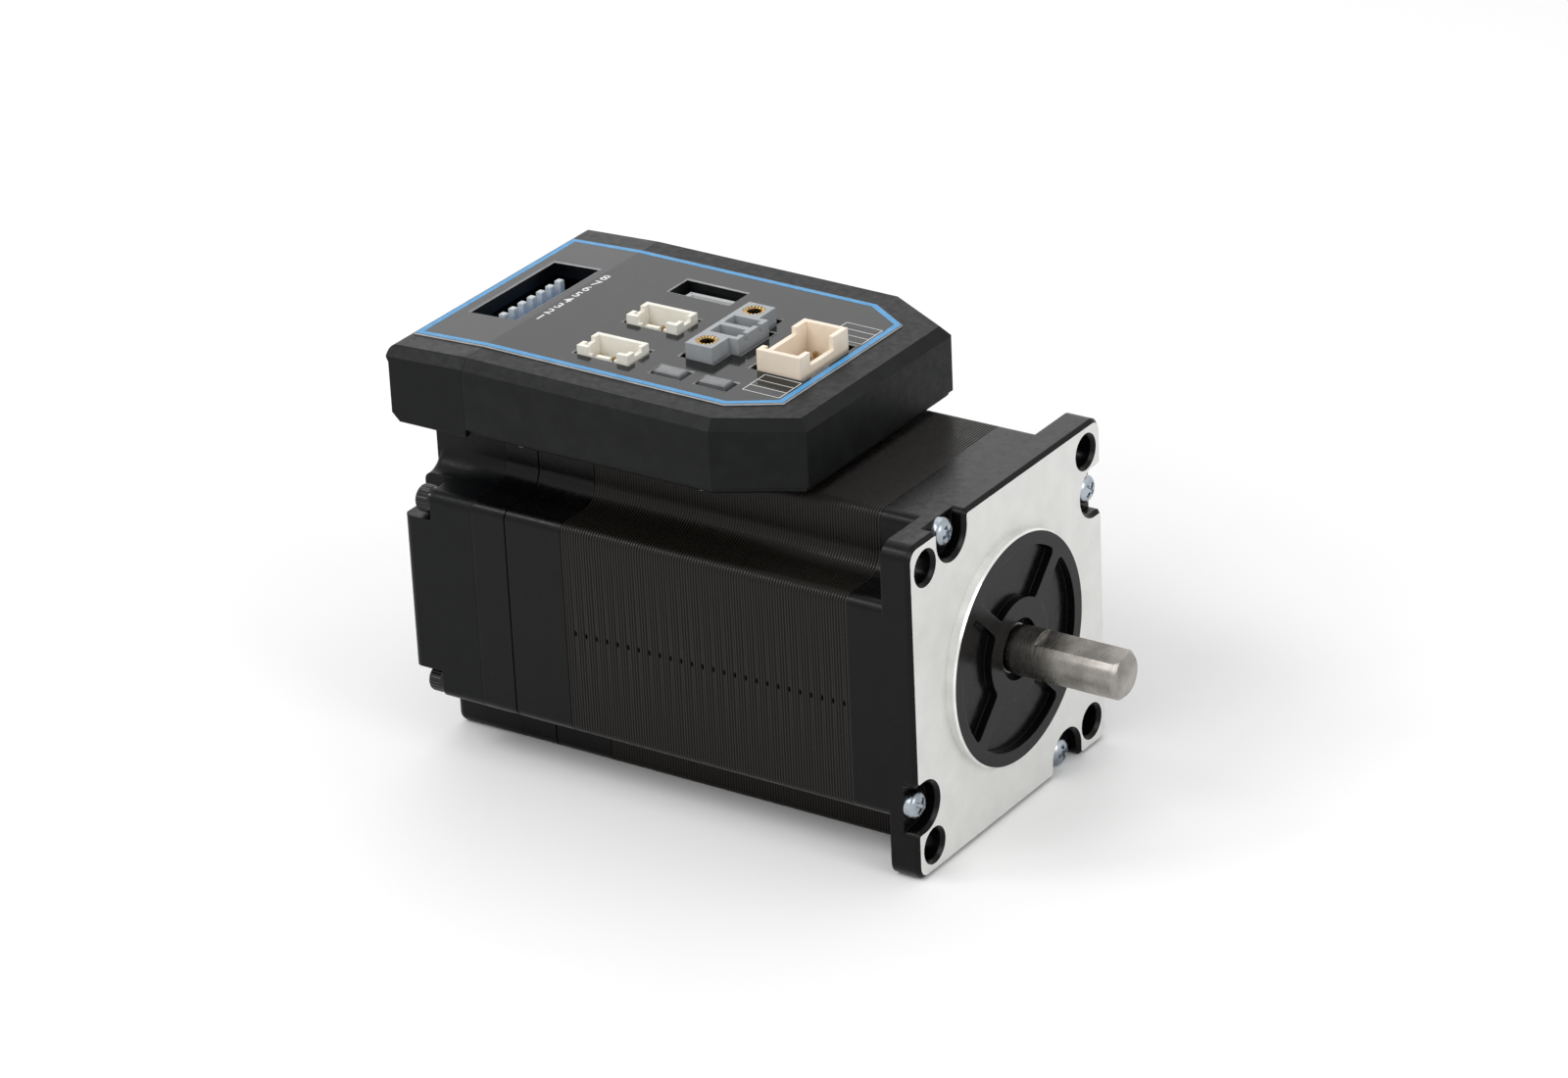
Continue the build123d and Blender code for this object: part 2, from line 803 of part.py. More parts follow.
with BuildPart() as encoder_board:
    with BuildSketch(Plane.YZ.offset(adapter_rear)):
        RectangleRounded(encoder_board_width, encoder_board_height, board_corner_radius)
        with GridLocations(2 * encoder_screw_y, 1, 2, 1):
            Circle(clearance_radius, mode=Mode.SUBTRACT)
    extrude(amount=-board_thickness)
    with BuildSketch(Plane.YZ.offset(adapter_rear)):
        Rectangle(encoder_chip_size, encoder_chip_size)
    extrude(amount=encoder_chip_height)

# Rear cover: the cap behind the motor, the neck and the tail of the drive box in one casting
neck_length = box_seam - cover_rear
with BuildPart() as rear_cover:
    with BuildSketch(Plane.YZ.offset(cover_rear)):
        add(body_outline.sketch)
    extrude(amount=cover_length)
    cap_rim = rear_cover.faces().sort_by(Axis.X)[0].edges()
    fillet(cap_rim, cover_edge_radius)
    # Neck, which carries the top arm up into the box
    with BuildSketch(Plane.XY.offset(arm_width / 2)):
        with Locations(((box_seam + cover_rear) / 2, 0)):
            Rectangle(neck_length, arm_width)
    extrude(amount=box_floor + box_wall - arm_width / 2)
    # Tail of the box, drawn in side view
    with BuildSketch(Plane.XZ) as tail_side:
        with BuildLine():
            Polyline(
                (box_seam, box_floor),
                (box_rear + tail_bevel, box_floor),
                (box_rear, box_floor + tail_bevel),
                (box_rear, box_top_rear - lip_height),
                (tail_rear_top, box_top_rear - lip_height + lip_slant),
                (tail_rear_top, box_top_rear),
                (box_seam, box_top_seam),
                close=True,
            )
        make_face()
        lip_corner = tail_side.vertices().filter_by(lambda v: v.X < tail_rear_top + pick)
        fillet(lip_corner.sort_by(Axis.Y)[-1], lip_edge_radius)
    extrude(amount=box_half, both=True)
    # Bevels along both sides of the roof, which follow its slope
    slope = Vector(tail_rear_top - box_seam, 0, box_top_rear - box_top_seam)
    with BuildSketch(Plane.YZ.offset(box_seam)):
        for side in (-1, 1):
            with BuildLine():
                Polyline(
                    (side * (box_half - box_bevel - overrun), box_top_seam + overrun),
                    (side * (box_half + overrun), box_top_seam - box_bevel - overrun),
                    (side * (box_half + overrun), box_top_seam + overrun),
                    close=True,
                )
            make_face()
    extrude(amount=slope.length + overrun, dir=slope.normalized(), mode=Mode.SUBTRACT)
    # Room for the board, open towards the front shell
    tail_room_rear = box_rear + box_wall
    with BuildSketch(Plane.XY.offset(base_top)):
        with Locations(((box_seam + tail_room_rear) / 2, 0)):
            Rectangle(box_seam - tail_room_rear, box_width - 2 * box_wall)
    extrude(amount=ceiling - base_top, mode=Mode.SUBTRACT)
    # Tongue that slides into the front shell, open below, and its root inside the tail
    tongue_half = box_half - box_wall - box_fit
    tongue_top = ceiling - box_fit
    for start, reach, half, top in (
        (box_seam, tongue_length, tongue_half, tongue_top),
        (box_seam - tongue_wall, tongue_wall, box_half - box_wall / 2, ceiling + box_fit),
    ):
        with BuildSketch(Plane.YZ.offset(start)):
            with Locations((0, base_top + box_fit)):
                Rectangle(2 * half, top - base_top - box_fit, align=(Align.CENTER, Align.MIN))
                Rectangle(
                    2 * (tongue_half - tongue_wall),
                    tongue_top - tongue_wall - base_top - box_fit,
                    align=(Align.CENTER, Align.MIN),
                    mode=Mode.SUBTRACT,
                )
        extrude(amount=reach)
    # Encoder room behind the board and the wire duct up the neck
    with BuildSketch(Plane.YZ.offset(adapter_rear)):
        Rectangle(encoder_board_width + 2 * board_room, encoder_board_height + 2 * board_room)
        Rectangle(arm_width - 2 * duct_wall, 2 * duct_level)
    extrude(amount=cover_back_wall - cover_length, mode=Mode.SUBTRACT)
    duct_bottom = arm_width / 2 - duct_inset
    with BuildSketch(Plane.XY.offset(duct_bottom)):
        with Locations(((adapter_rear + cover_rear) / 2, 0)):
            Rectangle(cover_length - 2 * cover_back_wall, arm_width - 2 * duct_inset)
    extrude(amount=base_top + overrun - duct_bottom, mode=Mode.SUBTRACT)
    # Window over the DIP switch
    with BuildSketch(Plane.XY.offset(ceiling - overrun)):
        with Locations((dip_window_x, dip_window_y)):
            Rectangle(dip_window_length, dip_window_width)
    extrude(amount=window_cut, mode=Mode.SUBTRACT)
    # Recesses and holes for the cover screws
    recess_spread_y = body_width - recess_width + 2 * overrun
    recess_spread_z = arm_width - recess_height + 2 * overrun
    with BuildSketch(Plane.YZ.offset(cover_rear)):
        with GridLocations(recess_spread_y, recess_spread_z, 2, 2):
            RectangleRounded(recess_width + 2 * overrun, recess_height + 2 * overrun, recess_corner_radius)
    extrude(amount=recess_depth, mode=Mode.SUBTRACT)
    with BuildSketch(Plane.YZ.offset(cover_rear)):
        with GridLocations(2 * tie_reach, 2 * tie_offset, 2, 2):
            Circle(clearance_radius)
    extrude(amount=cover_length, mode=Mode.SUBTRACT)

# Front shell of the drive box
with BuildPart() as driver_case:
    with BuildSketch(Plane.XY.offset(shell_bottom)):
        draw_outline(box_front, box_seam, shoulder, box_half, nose_half)
    extrude(amount=box_top_seam - shell_bottom)
    with BuildSketch(Plane.XZ):
        with BuildLine():
            Polyline(
                (box_seam, box_top_seam),
                (box_front, box_top_front),
                (box_front + overrun, box_top_front),
                (box_front + overrun, box_top_seam + overrun),
                (box_seam, box_top_seam + overrun),
                close=True,
            )
        make_face()
    extrude(amount=box_half + overrun, both=True, mode=Mode.SUBTRACT)
    roof = driver_case.faces().sort_by(Axis.Z)[-1]
    chamfer(roof.edges().filter_by(lambda e: e.center().X > box_seam + pick), box_bevel)
    uprights = driver_case.edges().filter_by(Axis.Z).filter_by(lambda e: e.center().X > box_seam + pick)
    fillet(uprights, box_edge_radius)
    with BuildSketch(Plane.XY.offset(shell_bottom)):
        draw_outline(
            box_front - box_wall,
            box_seam,
            shoulder - box_wall / 2,
            box_half - box_wall,
            nose_half - box_wall / 2,
        )
    extrude(amount=ceiling - shell_bottom, mode=Mode.SUBTRACT)
    # Screw posts under the roof
    with BuildSketch(Plane.XY.offset(base_top)):
        for x in case_screw_x:
            with Locations((x, case_screw_y), (x, -case_screw_y)):
                Circle(post_diameter / 2)
                Rectangle(post_rib_width, 2 * (box_half - box_wall - case_screw_y) + overrun)
    extrude(amount=ceiling - base_top + box_roof / 2)
    with BuildSketch(Plane.XY.offset(base_top)):
        for x in case_screw_x:
            with Locations((x, case_screw_y), (x, -case_screw_y)):
                Circle(thread_radius)
    extrude(amount=small_screw_length, mode=Mode.SUBTRACT)
    # Windows in the roof
    with BuildSketch(Plane.XY.offset(ceiling - overrun)):
        draw_case_windows()
        for x in pipe_x:
            with Locations((x, pipe_y)):
                Rectangle(pipe_length + 2 * pipe_fit, pipe_width + 2 * pipe_fit)
    extrude(amount=window_cut, mode=Mode.SUBTRACT)

# Base plate of the drive box
with BuildPart() as driver_base:
    with BuildSketch(Plane.XY.offset(box_floor)):
        draw_outline(
            box_front - base_inset,
            box_seam,
            shoulder - base_inset / 2,
            box_half - base_inset,
            nose_half - base_inset / 2,
        )
    extrude(amount=base_band)
    underside = driver_base.faces().sort_by(Axis.Z)[0]
    chamfer(underside.edges().filter_by(lambda e: e.center().X > box_seam + pick), base_chamfer)
    inner = box_wall + box_fit
    with BuildSketch(Plane.XY.offset(shell_bottom)):
        draw_outline(
            box_front - inner,
            box_seam,
            shoulder - inner / 2,
            box_half - inner,
            nose_half - inner / 2,
        )
    extrude(amount=base_top - shell_bottom)
    with BuildSketch(Plane.XY.offset(base_top)):
        for x in board_screw_x:
            with Locations((x, board_screw_y), (x, -board_screw_y)):
                Circle(board_boss_diameter / 2)
    extrude(amount=board_bottom - base_top)
    with BuildSketch(Plane.XY.offset(box_floor)):
        for x in case_screw_x:
            with Locations((x, case_screw_y), (x, -case_screw_y)):
                Circle(clearance_radius)
        for x in board_screw_x:
            with Locations((x, board_screw_y), (x, -board_screw_y)):
                Circle(thread_radius)
    extrude(amount=board_bottom - box_floor, mode=Mode.SUBTRACT)

# Control board with its light sources
with BuildPart() as control_board:
    with BuildSketch(Plane.XY.offset(board_bottom)):
        draw_outline(
            board_front,
            board_rear,
            shoulder + board_shoulder_lead,
            board_width / 2,
            board_width / 2 - board_nose_inset,
        )
        for x in board_screw_x:
            with Locations((x, board_screw_y), (x, -board_screw_y)):
                Circle(clearance_radius, mode=Mode.SUBTRACT)
    extrude(amount=board_thickness)
    with BuildSketch(Plane.XY.offset(board_level)):
        for x in pipe_x:
            with Locations((x, pipe_y)):
                Rectangle(led_length, led_width)
    extrude(amount=led_height)

# Printed label on the roof, bent over the crest
with BuildPart() as face_label:
    with BuildSketch(Plane.XZ):
        with BuildLine():
            Polyline(
                (label_rear, roof_height(label_rear)),
                (box_seam, box_top_seam),
                (label_front, roof_height(label_front)),
                (label_front, roof_height(label_front) + label_thickness),
                (box_seam, box_top_seam + label_thickness),
                (label_rear, roof_height(label_rear) + label_thickness),
                close=True,
            )
        make_face()
    extrude(amount=label_width, both=True)
    with BuildSketch(Plane.XY.offset(ceiling)):
        draw_outline(label_front, label_rear, label_chamfer_end, label_width / 2, label_nose_width / 2)
    extrude(amount=window_cut, mode=Mode.INTERSECT)
    with BuildSketch(Plane.XY.offset(ceiling)):
        draw_case_windows()
        for x in pipe_x:
            with Locations((x, pipe_y)):
                Rectangle(pipe_window_length, pipe_window_width)
        with Locations((dip_window_x, dip_window_y)):
            Rectangle(dip_window_length, dip_window_width)
    extrude(amount=window_cut, mode=Mode.SUBTRACT)

# DIP switch body with a slot for each paddle
dip_body_width = dip_count * dip_pitch + 2 * dip_body_margin
slot_length = paddle_size + paddle_travel + 2 * paddle_clearance
with BuildPart() as dip_switch:
    with BuildSketch(Plane.XY.offset(board_level)):
        with Locations((dip_body_x, dip_window_y)):
            Rectangle(dip_body_length, dip_body_width)
    extrude(amount=dip_body_top - board_level)
    with BuildSketch(Plane.XY.offset(dip_body_top)):
        with Locations((dip_body_x, dip_window_y)):
            with GridLocations(1, dip_pitch, 1, dip_count):
                Rectangle(slot_length, paddle_size + 2 * paddle_clearance)
    extrude(amount=-(paddle_sink + paddle_clearance), mode=Mode.SUBTRACT)

paddles = []
for number in range(1, dip_count + 1):
    paddle_y = dip_window_y + (number - (dip_count + 1) / 2) * dip_pitch
    with BuildPart() as paddle:
        with BuildSketch(Plane.XY.offset(dip_body_top - paddle_sink)):
            with Locations((dip_body_x - paddle_travel / 2, paddle_y)):
                Rectangle(paddle_size, paddle_size)
        extrude(amount=paddle_top - dip_body_top + paddle_sink)
        fillet(paddle.faces().sort_by(Axis.Z)[-1].edges(), paddle_edge_radius)
    paddle.part.label = f"dip_paddle_{number}"
    paddles.append(paddle.part)

# Ivory serial sockets
serial_sockets = []
for number, y in ((1, serial_1_y), (2, serial_2_y)):
    with BuildPart() as socket:
        with BuildSketch(Plane.XY.offset(board_level)):
            with Locations((socket_x, y)):
                Rectangle(serial_length, serial_width)
        extrude(amount=serial_top - board_level)
        with BuildSketch(Plane.XY.offset(serial_top)):
            with Locations((socket_x, y)):
                Rectangle(serial_length - 2 * socket_wall, serial_width - 2 * socket_wall)
        extrude(amount=-serial_cavity_depth, mode=Mode.SUBTRACT)
        # The near wall is lower and has two key slots
        near_wall_y = y - serial_width / 2
        with BuildSketch(Plane.XY.offset(serial_top)):
            with Locations((socket_x, near_wall_y)):
                Rectangle(low_wall_length, 2 * socket_wall)
        extrude(amount=-low_wall_depth, mode=Mode.SUBTRACT)
        with BuildSketch(Plane.XY.offset(serial_top)):
            with Locations((socket_x, near_wall_y)):
                with GridLocations(key_slot_spacing, 1, 2, 1):
                    Rectangle(key_slot_width, 2 * socket_wall)
        extrude(amount=-key_slot_depth, mode=Mode.SUBTRACT)
        # Both end walls have a shallow notch
        with BuildSketch(Plane.XY.offset(serial_top)):
            with Locations((socket_x, y)):
                with GridLocations(serial_length, 1, 2, 1):
                    Rectangle(2 * socket_wall, end_notch_width)
        extrude(amount=-end_notch_depth, mode=Mode.SUBTRACT)
        with BuildSketch(Plane.XY.offset(serial_top - serial_cavity_depth)):
            with Locations((socket_x, y)):
                with GridLocations(serial_pin_pitch, 1, serial_pins, 1):
                    Rectangle(pin_width, pin_width)
        extrude(amount=-(serial_top - serial_cavity_depth - board_level), mode=Mode.SUBTRACT)
    socket.part.label = f"serial_socket_{number}"
    serial_sockets.append(socket.part)

# Recessed debug socket
with BuildPart() as debug_socket:
    with BuildSketch(Plane.XY.offset(board_level)):
        with Locations((socket_x, debug_y)):
            Rectangle(debug_length, debug_width)
    extrude(amount=debug_top - board_level)
    with BuildSketch(Plane.XY.offset(debug_top)):
        with Locations((socket_x, debug_y)):
            Rectangle(debug_length - 2 * socket_wall, debug_width - 2 * socket_wall)
    extrude(amount=-debug_cavity_depth, mode=Mode.SUBTRACT)
    with BuildSketch(Plane.XY.offset(debug_top - debug_cavity_depth)):
        with Locations((socket_x, debug_y)):
            with GridLocations(debug_pin_pitch, 1, debug_pins, 1):
                Rectangle(pin_width, pin_width)
    extrude(amount=-(debug_top - debug_cavity_depth - board_level), mode=Mode.SUBTRACT)

# Pins of the three sockets
with BuildPart() as socket_pins:
    with BuildSketch(Plane.XY.offset(board_level)):
        with Locations((socket_x, serial_1_y), (socket_x, serial_2_y)):
            with GridLocations(serial_pin_pitch, 1, serial_pins, 1):
                Rectangle(pin_width, pin_width)
    extrude(amount=serial_top - pin_gap - board_level)
    with BuildSketch(Plane.XY.offset(board_level)):
        with Locations((socket_x, debug_y)):
            with GridLocations(debug_pin_pitch, 1, debug_pins, 1):
                Rectangle(pin_width, pin_width)
    extrude(amount=debug_top - pin_gap / 2 - board_level)

# Power header with two wire cells and a threaded insert at each end
power_cells_y = [power_y - power_cell_pitch / 2, power_y + power_cell_pitch / 2]
power_cell_length = power_length + power_bulge - 2 * power_wall
power_cell_x = power_x + power_bulge / 2
with BuildPart() as power_header:
    with BuildSketch(Plane.XY.offset(board_level)):
        with Locations((power_x, power_y)):
            Rectangle(power_length, power_width)
        with Locations((power_cell_x, power_y)):
            Rectangle(power_length + power_bulge, power_bulge_width)
    extrude(amount=power_top - board_level)
    with BuildSketch(Plane.XY.offset(power_top)):
        for y in power_cells_y:
            with Locations((power_cell_x, y)):
                Rectangle(power_cell_length, power_cell_width)
    extrude(amount=-power_cavity_depth, mode=Mode.SUBTRACT)
    # Key slits in the front wall of each cell
    with BuildSketch(Plane.XY.offset(power_top)):
        for y in power_cells_y:
            with Locations((power_x + power_length / 2 + power_bulge, y)):
                Rectangle(2 * power_wall, power_slit_width)
    extrude(amount=-power_slit_depth, mode=Mode.SUBTRACT)
    with BuildSketch(Plane.XY.offset(power_top)):
        with Locations((power_x, power_y)):
            with GridLocations(1, insert_spacing, 1, 2):
                Circle(insert_diameter / 2)
    extrude(amount=-insert_length, mode=Mode.SUBTRACT)
    with BuildSketch(Plane.XY.offset(power_top - power_cavity_depth)):
        for y in power_cells_y:
            with Locations((power_cell_x, y)):
                Rectangle(power_pin_width, power_pin_width)
    extrude(amount=-(power_top - power_cavity_depth - board_level), mode=Mode.SUBTRACT)

with BuildPart() as power_inserts:
    with BuildSketch(Plane.XY.offset(power_top - insert_length)):
        with Locations((power_x, power_y)):
            with GridLocations(1, insert_spacing, 1, 2):
                Circle(insert_diameter / 2)
                Circle(insert_bore / 2, mode=Mode.SUBTRACT)
    extrude(amount=insert_length)
    upper_rims = power_inserts.edges().filter_by(GeomType.CIRCLE).group_by(Axis.Z)[-1]
    chamfer(upper_rims.filter_by(lambda e: e.radius < insert_bore / 2 + pick), insert_chamfer)

with BuildPart() as power_pins:
    with BuildSketch(Plane.XY.offset(board_level)):
        for y in power_cells_y:
            with Locations((power_cell_x, y)):
                Rectangle(power_pin_width, power_pin_width)
    extrude(amount=power_top - pin_gap - board_level)

# Signal header, a keyed shroud round two rows of pins
signal_floor = signal_top - signal_cavity_depth
with BuildPart() as signal_header:
    with BuildSketch(Plane.XY.offset(board_level)):
        with Locations((signal_x, signal_y)):
            Rectangle(signal_length, signal_width)
    extrude(amount=signal_top - board_level)
    with BuildSketch(Plane.XY.offset(signal_top)):
        with Locations((signal_x, signal_y)):
            Rectangle(signal_length - 2 * signal_wall, signal_width - 2 * signal_wall)
    extrude(amount=-signal_cavity_depth, mode=Mode.SUBTRACT)
    with BuildSketch(Plane.XY.offset(signal_top)):
        with Locations((signal_x - signal_length / 2, signal_y + signal_rear_slot_shift)):
            Rectangle(2 * signal_wall, signal_rear_slot_width)
    extrude(amount=-signal_rear_slot_depth, mode=Mode.SUBTRACT)
    with BuildSketch(Plane.XY.offset(signal_top)):
        with Locations((signal_x + signal_length / 2, signal_y + signal_front_slot_shift)):
            Rectangle(2 * signal_wall, signal_front_slot_width)
    extrude(amount=-signal_front_slot_depth, mode=Mode.SUBTRACT)
    with BuildSketch(Plane.XY.offset(signal_floor)):
        with Locations((signal_x, signal_y)):
            with GridLocations(signal_pin_pitch, signal_pin_pitch, 2, signal_pins_in_row):
                Rectangle(pin_width, pin_width)
    extrude(amount=-(signal_floor - board_level), mode=Mode.SUBTRACT)

with BuildPart() as signal_pins:
    with BuildSketch(Plane.XY.offset(board_level)):
        with Locations((signal_x, signal_y)):
            with GridLocations(signal_pin_pitch, signal_pin_pitch, 2, signal_pins_in_row):
                Rectangle(pin_width, pin_width)
    extrude(amount=signal_floor + signal_pin_height - board_level)

# Light pipes over the two light sources
light_pipes = []
pipe_bottom = board_level + led_height + pipe_gap
for number, x in enumerate(pipe_x, start=1):
    with BuildPart() as light_pipe:
        with BuildSketch(Plane.XY.offset(pipe_bottom)):
            with Locations((x, pipe_y)):
                Rectangle(pipe_length, pipe_width)
        extrude(amount=pipe_top - pipe_bottom)
        chamfer(light_pipe.faces().sort_by(Axis.Z)[-1].edges(), pipe_chamfer)
        with BuildSketch(Plane.XY.offset(ceiling - pipe_flange_thickness)):
            with Locations((x, pipe_y)):
                Rectangle(pipe_length + 2 * pipe_flange, pipe_width + 2 * pipe_flange)
        extrude(amount=pipe_flange_thickness)
    light_pipe.part.label = f"light_pipe_{number}"
    light_pipes.append(light_pipe.part)

# Tie screws
tie_end = stack_rear - thread_depth + thread_spare
with BuildPart() as tie_screws:
    with BuildSketch(Plane.YZ.offset(-notch_depth)):
        with PolarLocations(tie_radius, 4, start_angle=tie_angle):
            Circle(pan_head_diameter / 2)
    extrude(amount=pan_head_height)
    chamfer(tie_screws.edges().filter_by(GeomType.CIRCLE).group_by(Axis.X)[-1], pan_head_edge)
    with BuildSketch(Plane.YZ.offset(tie_end)):
        with PolarLocations(tie_radius, 4, start_angle=tie_angle):
            Circle(screw_diameter / 2)
    extrude(amount=-notch_depth - tie_end)
    with BuildSketch(Plane.YZ.offset(-notch_depth + pan_head_height)):
        with PolarLocations(tie_radius, 4, start_angle=tie_angle):
            Rectangle(cross_length, cross_width)
            Rectangle(cross_width, cross_length)
    extrude(amount=-cross_depth, mode=Mode.SUBTRACT)

# Cover screws with split washers
cap_seat = recess_floor - washer_thickness
cover_screw_end = bell_rear + thread_depth - thread_spare
with BuildPart() as cover_screws:
    with BuildSketch(Plane.YZ.offset(cap_seat)):
        with GridLocations(2 * tie_reach, 2 * tie_offset, 2, 2):
            Circle(cap_head_diameter / 2)
    extrude(amount=-cap_head_height)
    chamfer(cover_screws.edges().filter_by(GeomType.CIRCLE).group_by(Axis.X)[0], cap_head_edge)
    with BuildSketch(Plane.YZ.offset(cap_seat)):
        with GridLocations(2 * tie_reach, 2 * tie_offset, 2, 2):
            Circle(screw_diameter / 2)
    extrude(amount=cover_screw_end - cap_seat)
    with BuildSketch(Plane.YZ.offset(cap_seat - cap_head_height)):
        with GridLocations(2 * tie_reach, 2 * tie_offset, 2, 2):
            RegularPolygon(hex_socket_width / 2, 6, major_radius=False)
    extrude(amount=hex_socket_depth, mode=Mode.SUBTRACT)

with BuildPart() as cover_washers:
    with BuildSketch(Plane.YZ.offset(cap_seat)):
        with GridLocations(2 * tie_reach, 2 * tie_offset, 2, 2):
            Circle(washer_diameter / 2)
            Circle(screw_diameter / 2 + thread_clearance, mode=Mode.SUBTRACT)
            Rectangle(
                washer_diameter,
                washer_split,
                align=(Align.MIN, Align.CENTER),
                rotation=washer_turn,
                mode=Mode.SUBTRACT,
            )
    extrude(amount=washer_thickness)

# Small pan-head screws of the case, the control board and the encoder board
with BuildPart() as small_screws:
    for x in case_screw_x:
        with BuildSketch(Plane.XY.offset(box_floor)):
            with Locations((x, case_screw_y), (x, -case_screw_y)):
                Circle(small_head_diameter / 2)
        extrude(amount=-low_head_height)
        with BuildSketch(Plane.XY.offset(box_floor)):
            with Locations((x, case_screw_y), (x, -case_screw_y)):
                Circle(screw_diameter / 2)
        extrude(amount=small_screw_length)
    for x in board_screw_x:
        with BuildSketch(Plane.XY.offset(board_level)):
            with Locations((x, board_screw_y), (x, -board_screw_y)):
                Circle(small_head_diameter / 2)
        extrude(amount=small_head_height)
        with BuildSketch(Plane.XY.offset(board_level)):
            with Locations((x, board_screw_y), (x, -board_screw_y)):
                Circle(screw_diameter / 2)
        extrude(amount=box_floor + small_screw_gap - board_level)
    with BuildSketch(Plane.YZ.offset(adapter_rear - board_thickness)):
        with GridLocations(2 * encoder_screw_y, 1, 2, 1):
            Circle(small_head_diameter / 2)
    extrude(amount=-small_head_height)
    with BuildSketch(Plane.YZ.offset(adapter_rear - board_thickness)):
        with GridLocations(2 * encoder_screw_y, 1, 2, 1):
            Circle(screw_diameter / 2)
    extrude(amount=small_screw_length)

# Phase leads from the coils through the bell and up the neck to the control board
coil_rear_end = stack_middle - coil_bore_length / 2 - coil_thickness
lead_start = coil_rear_end - lead_gap
with BuildPart() as phase_leads:
    for number in range(lead_count):
        lead_y = (number - (lead_count - 1) / 2) * lead_spacing
        with BuildLine():
            FilletPolyline(
                (lead_start, lead_y, lead_level),
                (lead_turn_x, lead_y, lead_level),
                (lead_turn_x, lead_y, board_bottom),
                radius=lead_bend,
            )
        with BuildSketch(Plane(origin=(lead_start, lead_y, lead_level), z_dir=(-1, 0, 0))):
            Circle(lead_diameter / 2)
        sweep()

named = {
    "phase_leads": phase_leads,
    "front_flange": front_flange,
    "stator_stack": stator_stack,
    "insulator_front": insulator_front,
    "shaft": shaft,
    "rotor_cup_front": rotor_cup_front,
    "rotor_cup_rear": rotor_cup_rear,
    "rotor_magnet": rotor_magnet,
    "wave_spring": wave_spring,
    "rear_bell": rear_bell,
    "adapter_ring": adapter_ring,
    "encoder_hub": encoder_hub,
    "encoder_magnet": encoder_magnet,
    "encoder_board": encoder_board,
    "rear_cover": rear_cover,
    "driver_case": driver_case,
    "driver_base": driver_base,
    "control_board": control_board,
    "face_label": face_label,
    "dip_switch": dip_switch,
    "debug_socket": debug_socket,
    "socket_pins": socket_pins,
    "power_header": power_header,
    "power_inserts": power_inserts,
    "power_pins": power_pins,
    "signal_header": signal_header,
    "signal_pins": signal_pins,
    "tie_screws": tie_screws,
    "cover_screws": cover_screws,
    "cover_washers": cover_washers,
    "small_screws": small_screws,
}

os.makedirs("parts", exist_ok=True)
finished = []
for name, builder in named.items():
    builder.part.label = name
    finished.append(builder.part)
finished += coils + bearing_parts + paddles + serial_sockets + light_pipes + [insulator_rear]
for piece in finished:
    export_step(piece, f"parts/{piece.label}.step")
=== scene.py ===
import json
import math

import bmesh
import bpy
from mathutils import Matrix, Vector


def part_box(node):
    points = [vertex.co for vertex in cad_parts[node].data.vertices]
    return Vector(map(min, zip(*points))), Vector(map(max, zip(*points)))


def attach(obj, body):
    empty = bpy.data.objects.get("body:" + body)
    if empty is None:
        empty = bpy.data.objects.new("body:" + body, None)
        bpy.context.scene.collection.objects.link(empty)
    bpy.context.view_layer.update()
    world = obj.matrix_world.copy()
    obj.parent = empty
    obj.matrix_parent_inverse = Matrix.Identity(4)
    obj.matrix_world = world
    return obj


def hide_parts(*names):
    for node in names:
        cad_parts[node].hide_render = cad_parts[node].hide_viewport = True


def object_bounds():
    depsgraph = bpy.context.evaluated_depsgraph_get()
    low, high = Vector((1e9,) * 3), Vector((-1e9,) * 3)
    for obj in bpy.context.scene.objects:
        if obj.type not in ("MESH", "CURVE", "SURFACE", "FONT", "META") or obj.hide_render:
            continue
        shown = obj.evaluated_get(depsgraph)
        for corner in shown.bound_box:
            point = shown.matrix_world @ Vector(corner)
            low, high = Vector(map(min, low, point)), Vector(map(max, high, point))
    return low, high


# Looks of the integrated stepper motor. Metres, with the shaft along +X and the drive box on top.

MM = 0.001
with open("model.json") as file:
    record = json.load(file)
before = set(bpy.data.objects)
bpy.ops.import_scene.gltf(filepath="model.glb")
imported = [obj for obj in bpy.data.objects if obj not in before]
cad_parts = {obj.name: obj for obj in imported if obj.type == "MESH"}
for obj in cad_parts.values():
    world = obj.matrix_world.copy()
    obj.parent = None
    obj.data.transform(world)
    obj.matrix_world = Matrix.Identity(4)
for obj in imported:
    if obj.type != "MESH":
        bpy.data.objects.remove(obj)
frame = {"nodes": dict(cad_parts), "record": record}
cad_low, cad_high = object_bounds()
nodes = frame["nodes"]

# Sizes read from the frame
stack_low, stack_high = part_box("stator_stack")
label_low, label_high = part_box("face_label")
dip_low, dip_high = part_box("dip_switch")
insert_low, insert_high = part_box("power_inserts")
tie_low, tie_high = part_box("tie_screws")
cover_low, cover_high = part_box("cover_screws")
half_body = stack_high.y
middle = (cad_low + cad_high) / 2

# Material slots of the finer pieces, both of them painted shade
PAINTED_BLACK_SLOT = 1
PAINTED_SHADE_SLOT = 2

# Limits for picking faces and corners
PICK = 0.01 * MM
KEYS_PER_METRE = 1e7
FACING = 0.9
STANDING = 0.5
PILOT_WALL = 18.5 * MM
HIGH_ABOVE = 1.0

# Grain of the materials
GRAIN_LOW = 0.3
GRAIN_HIGH = 0.7
PAINT_MOTTLE = 3 * MM
METAL_MOTTLE = 4 * MM
GLOSS_PATCH = 1.2 * MM
FLOOR_MOTTLE = 80 * MM
METAL_DETAIL = 4.0
ROUGH_BELOW = 0.05
PAINT_ROUGH_ABOVE = 0.06
METAL_ROUGH_ABOVE = 0.08
BEVEL_SAMPLES = 4
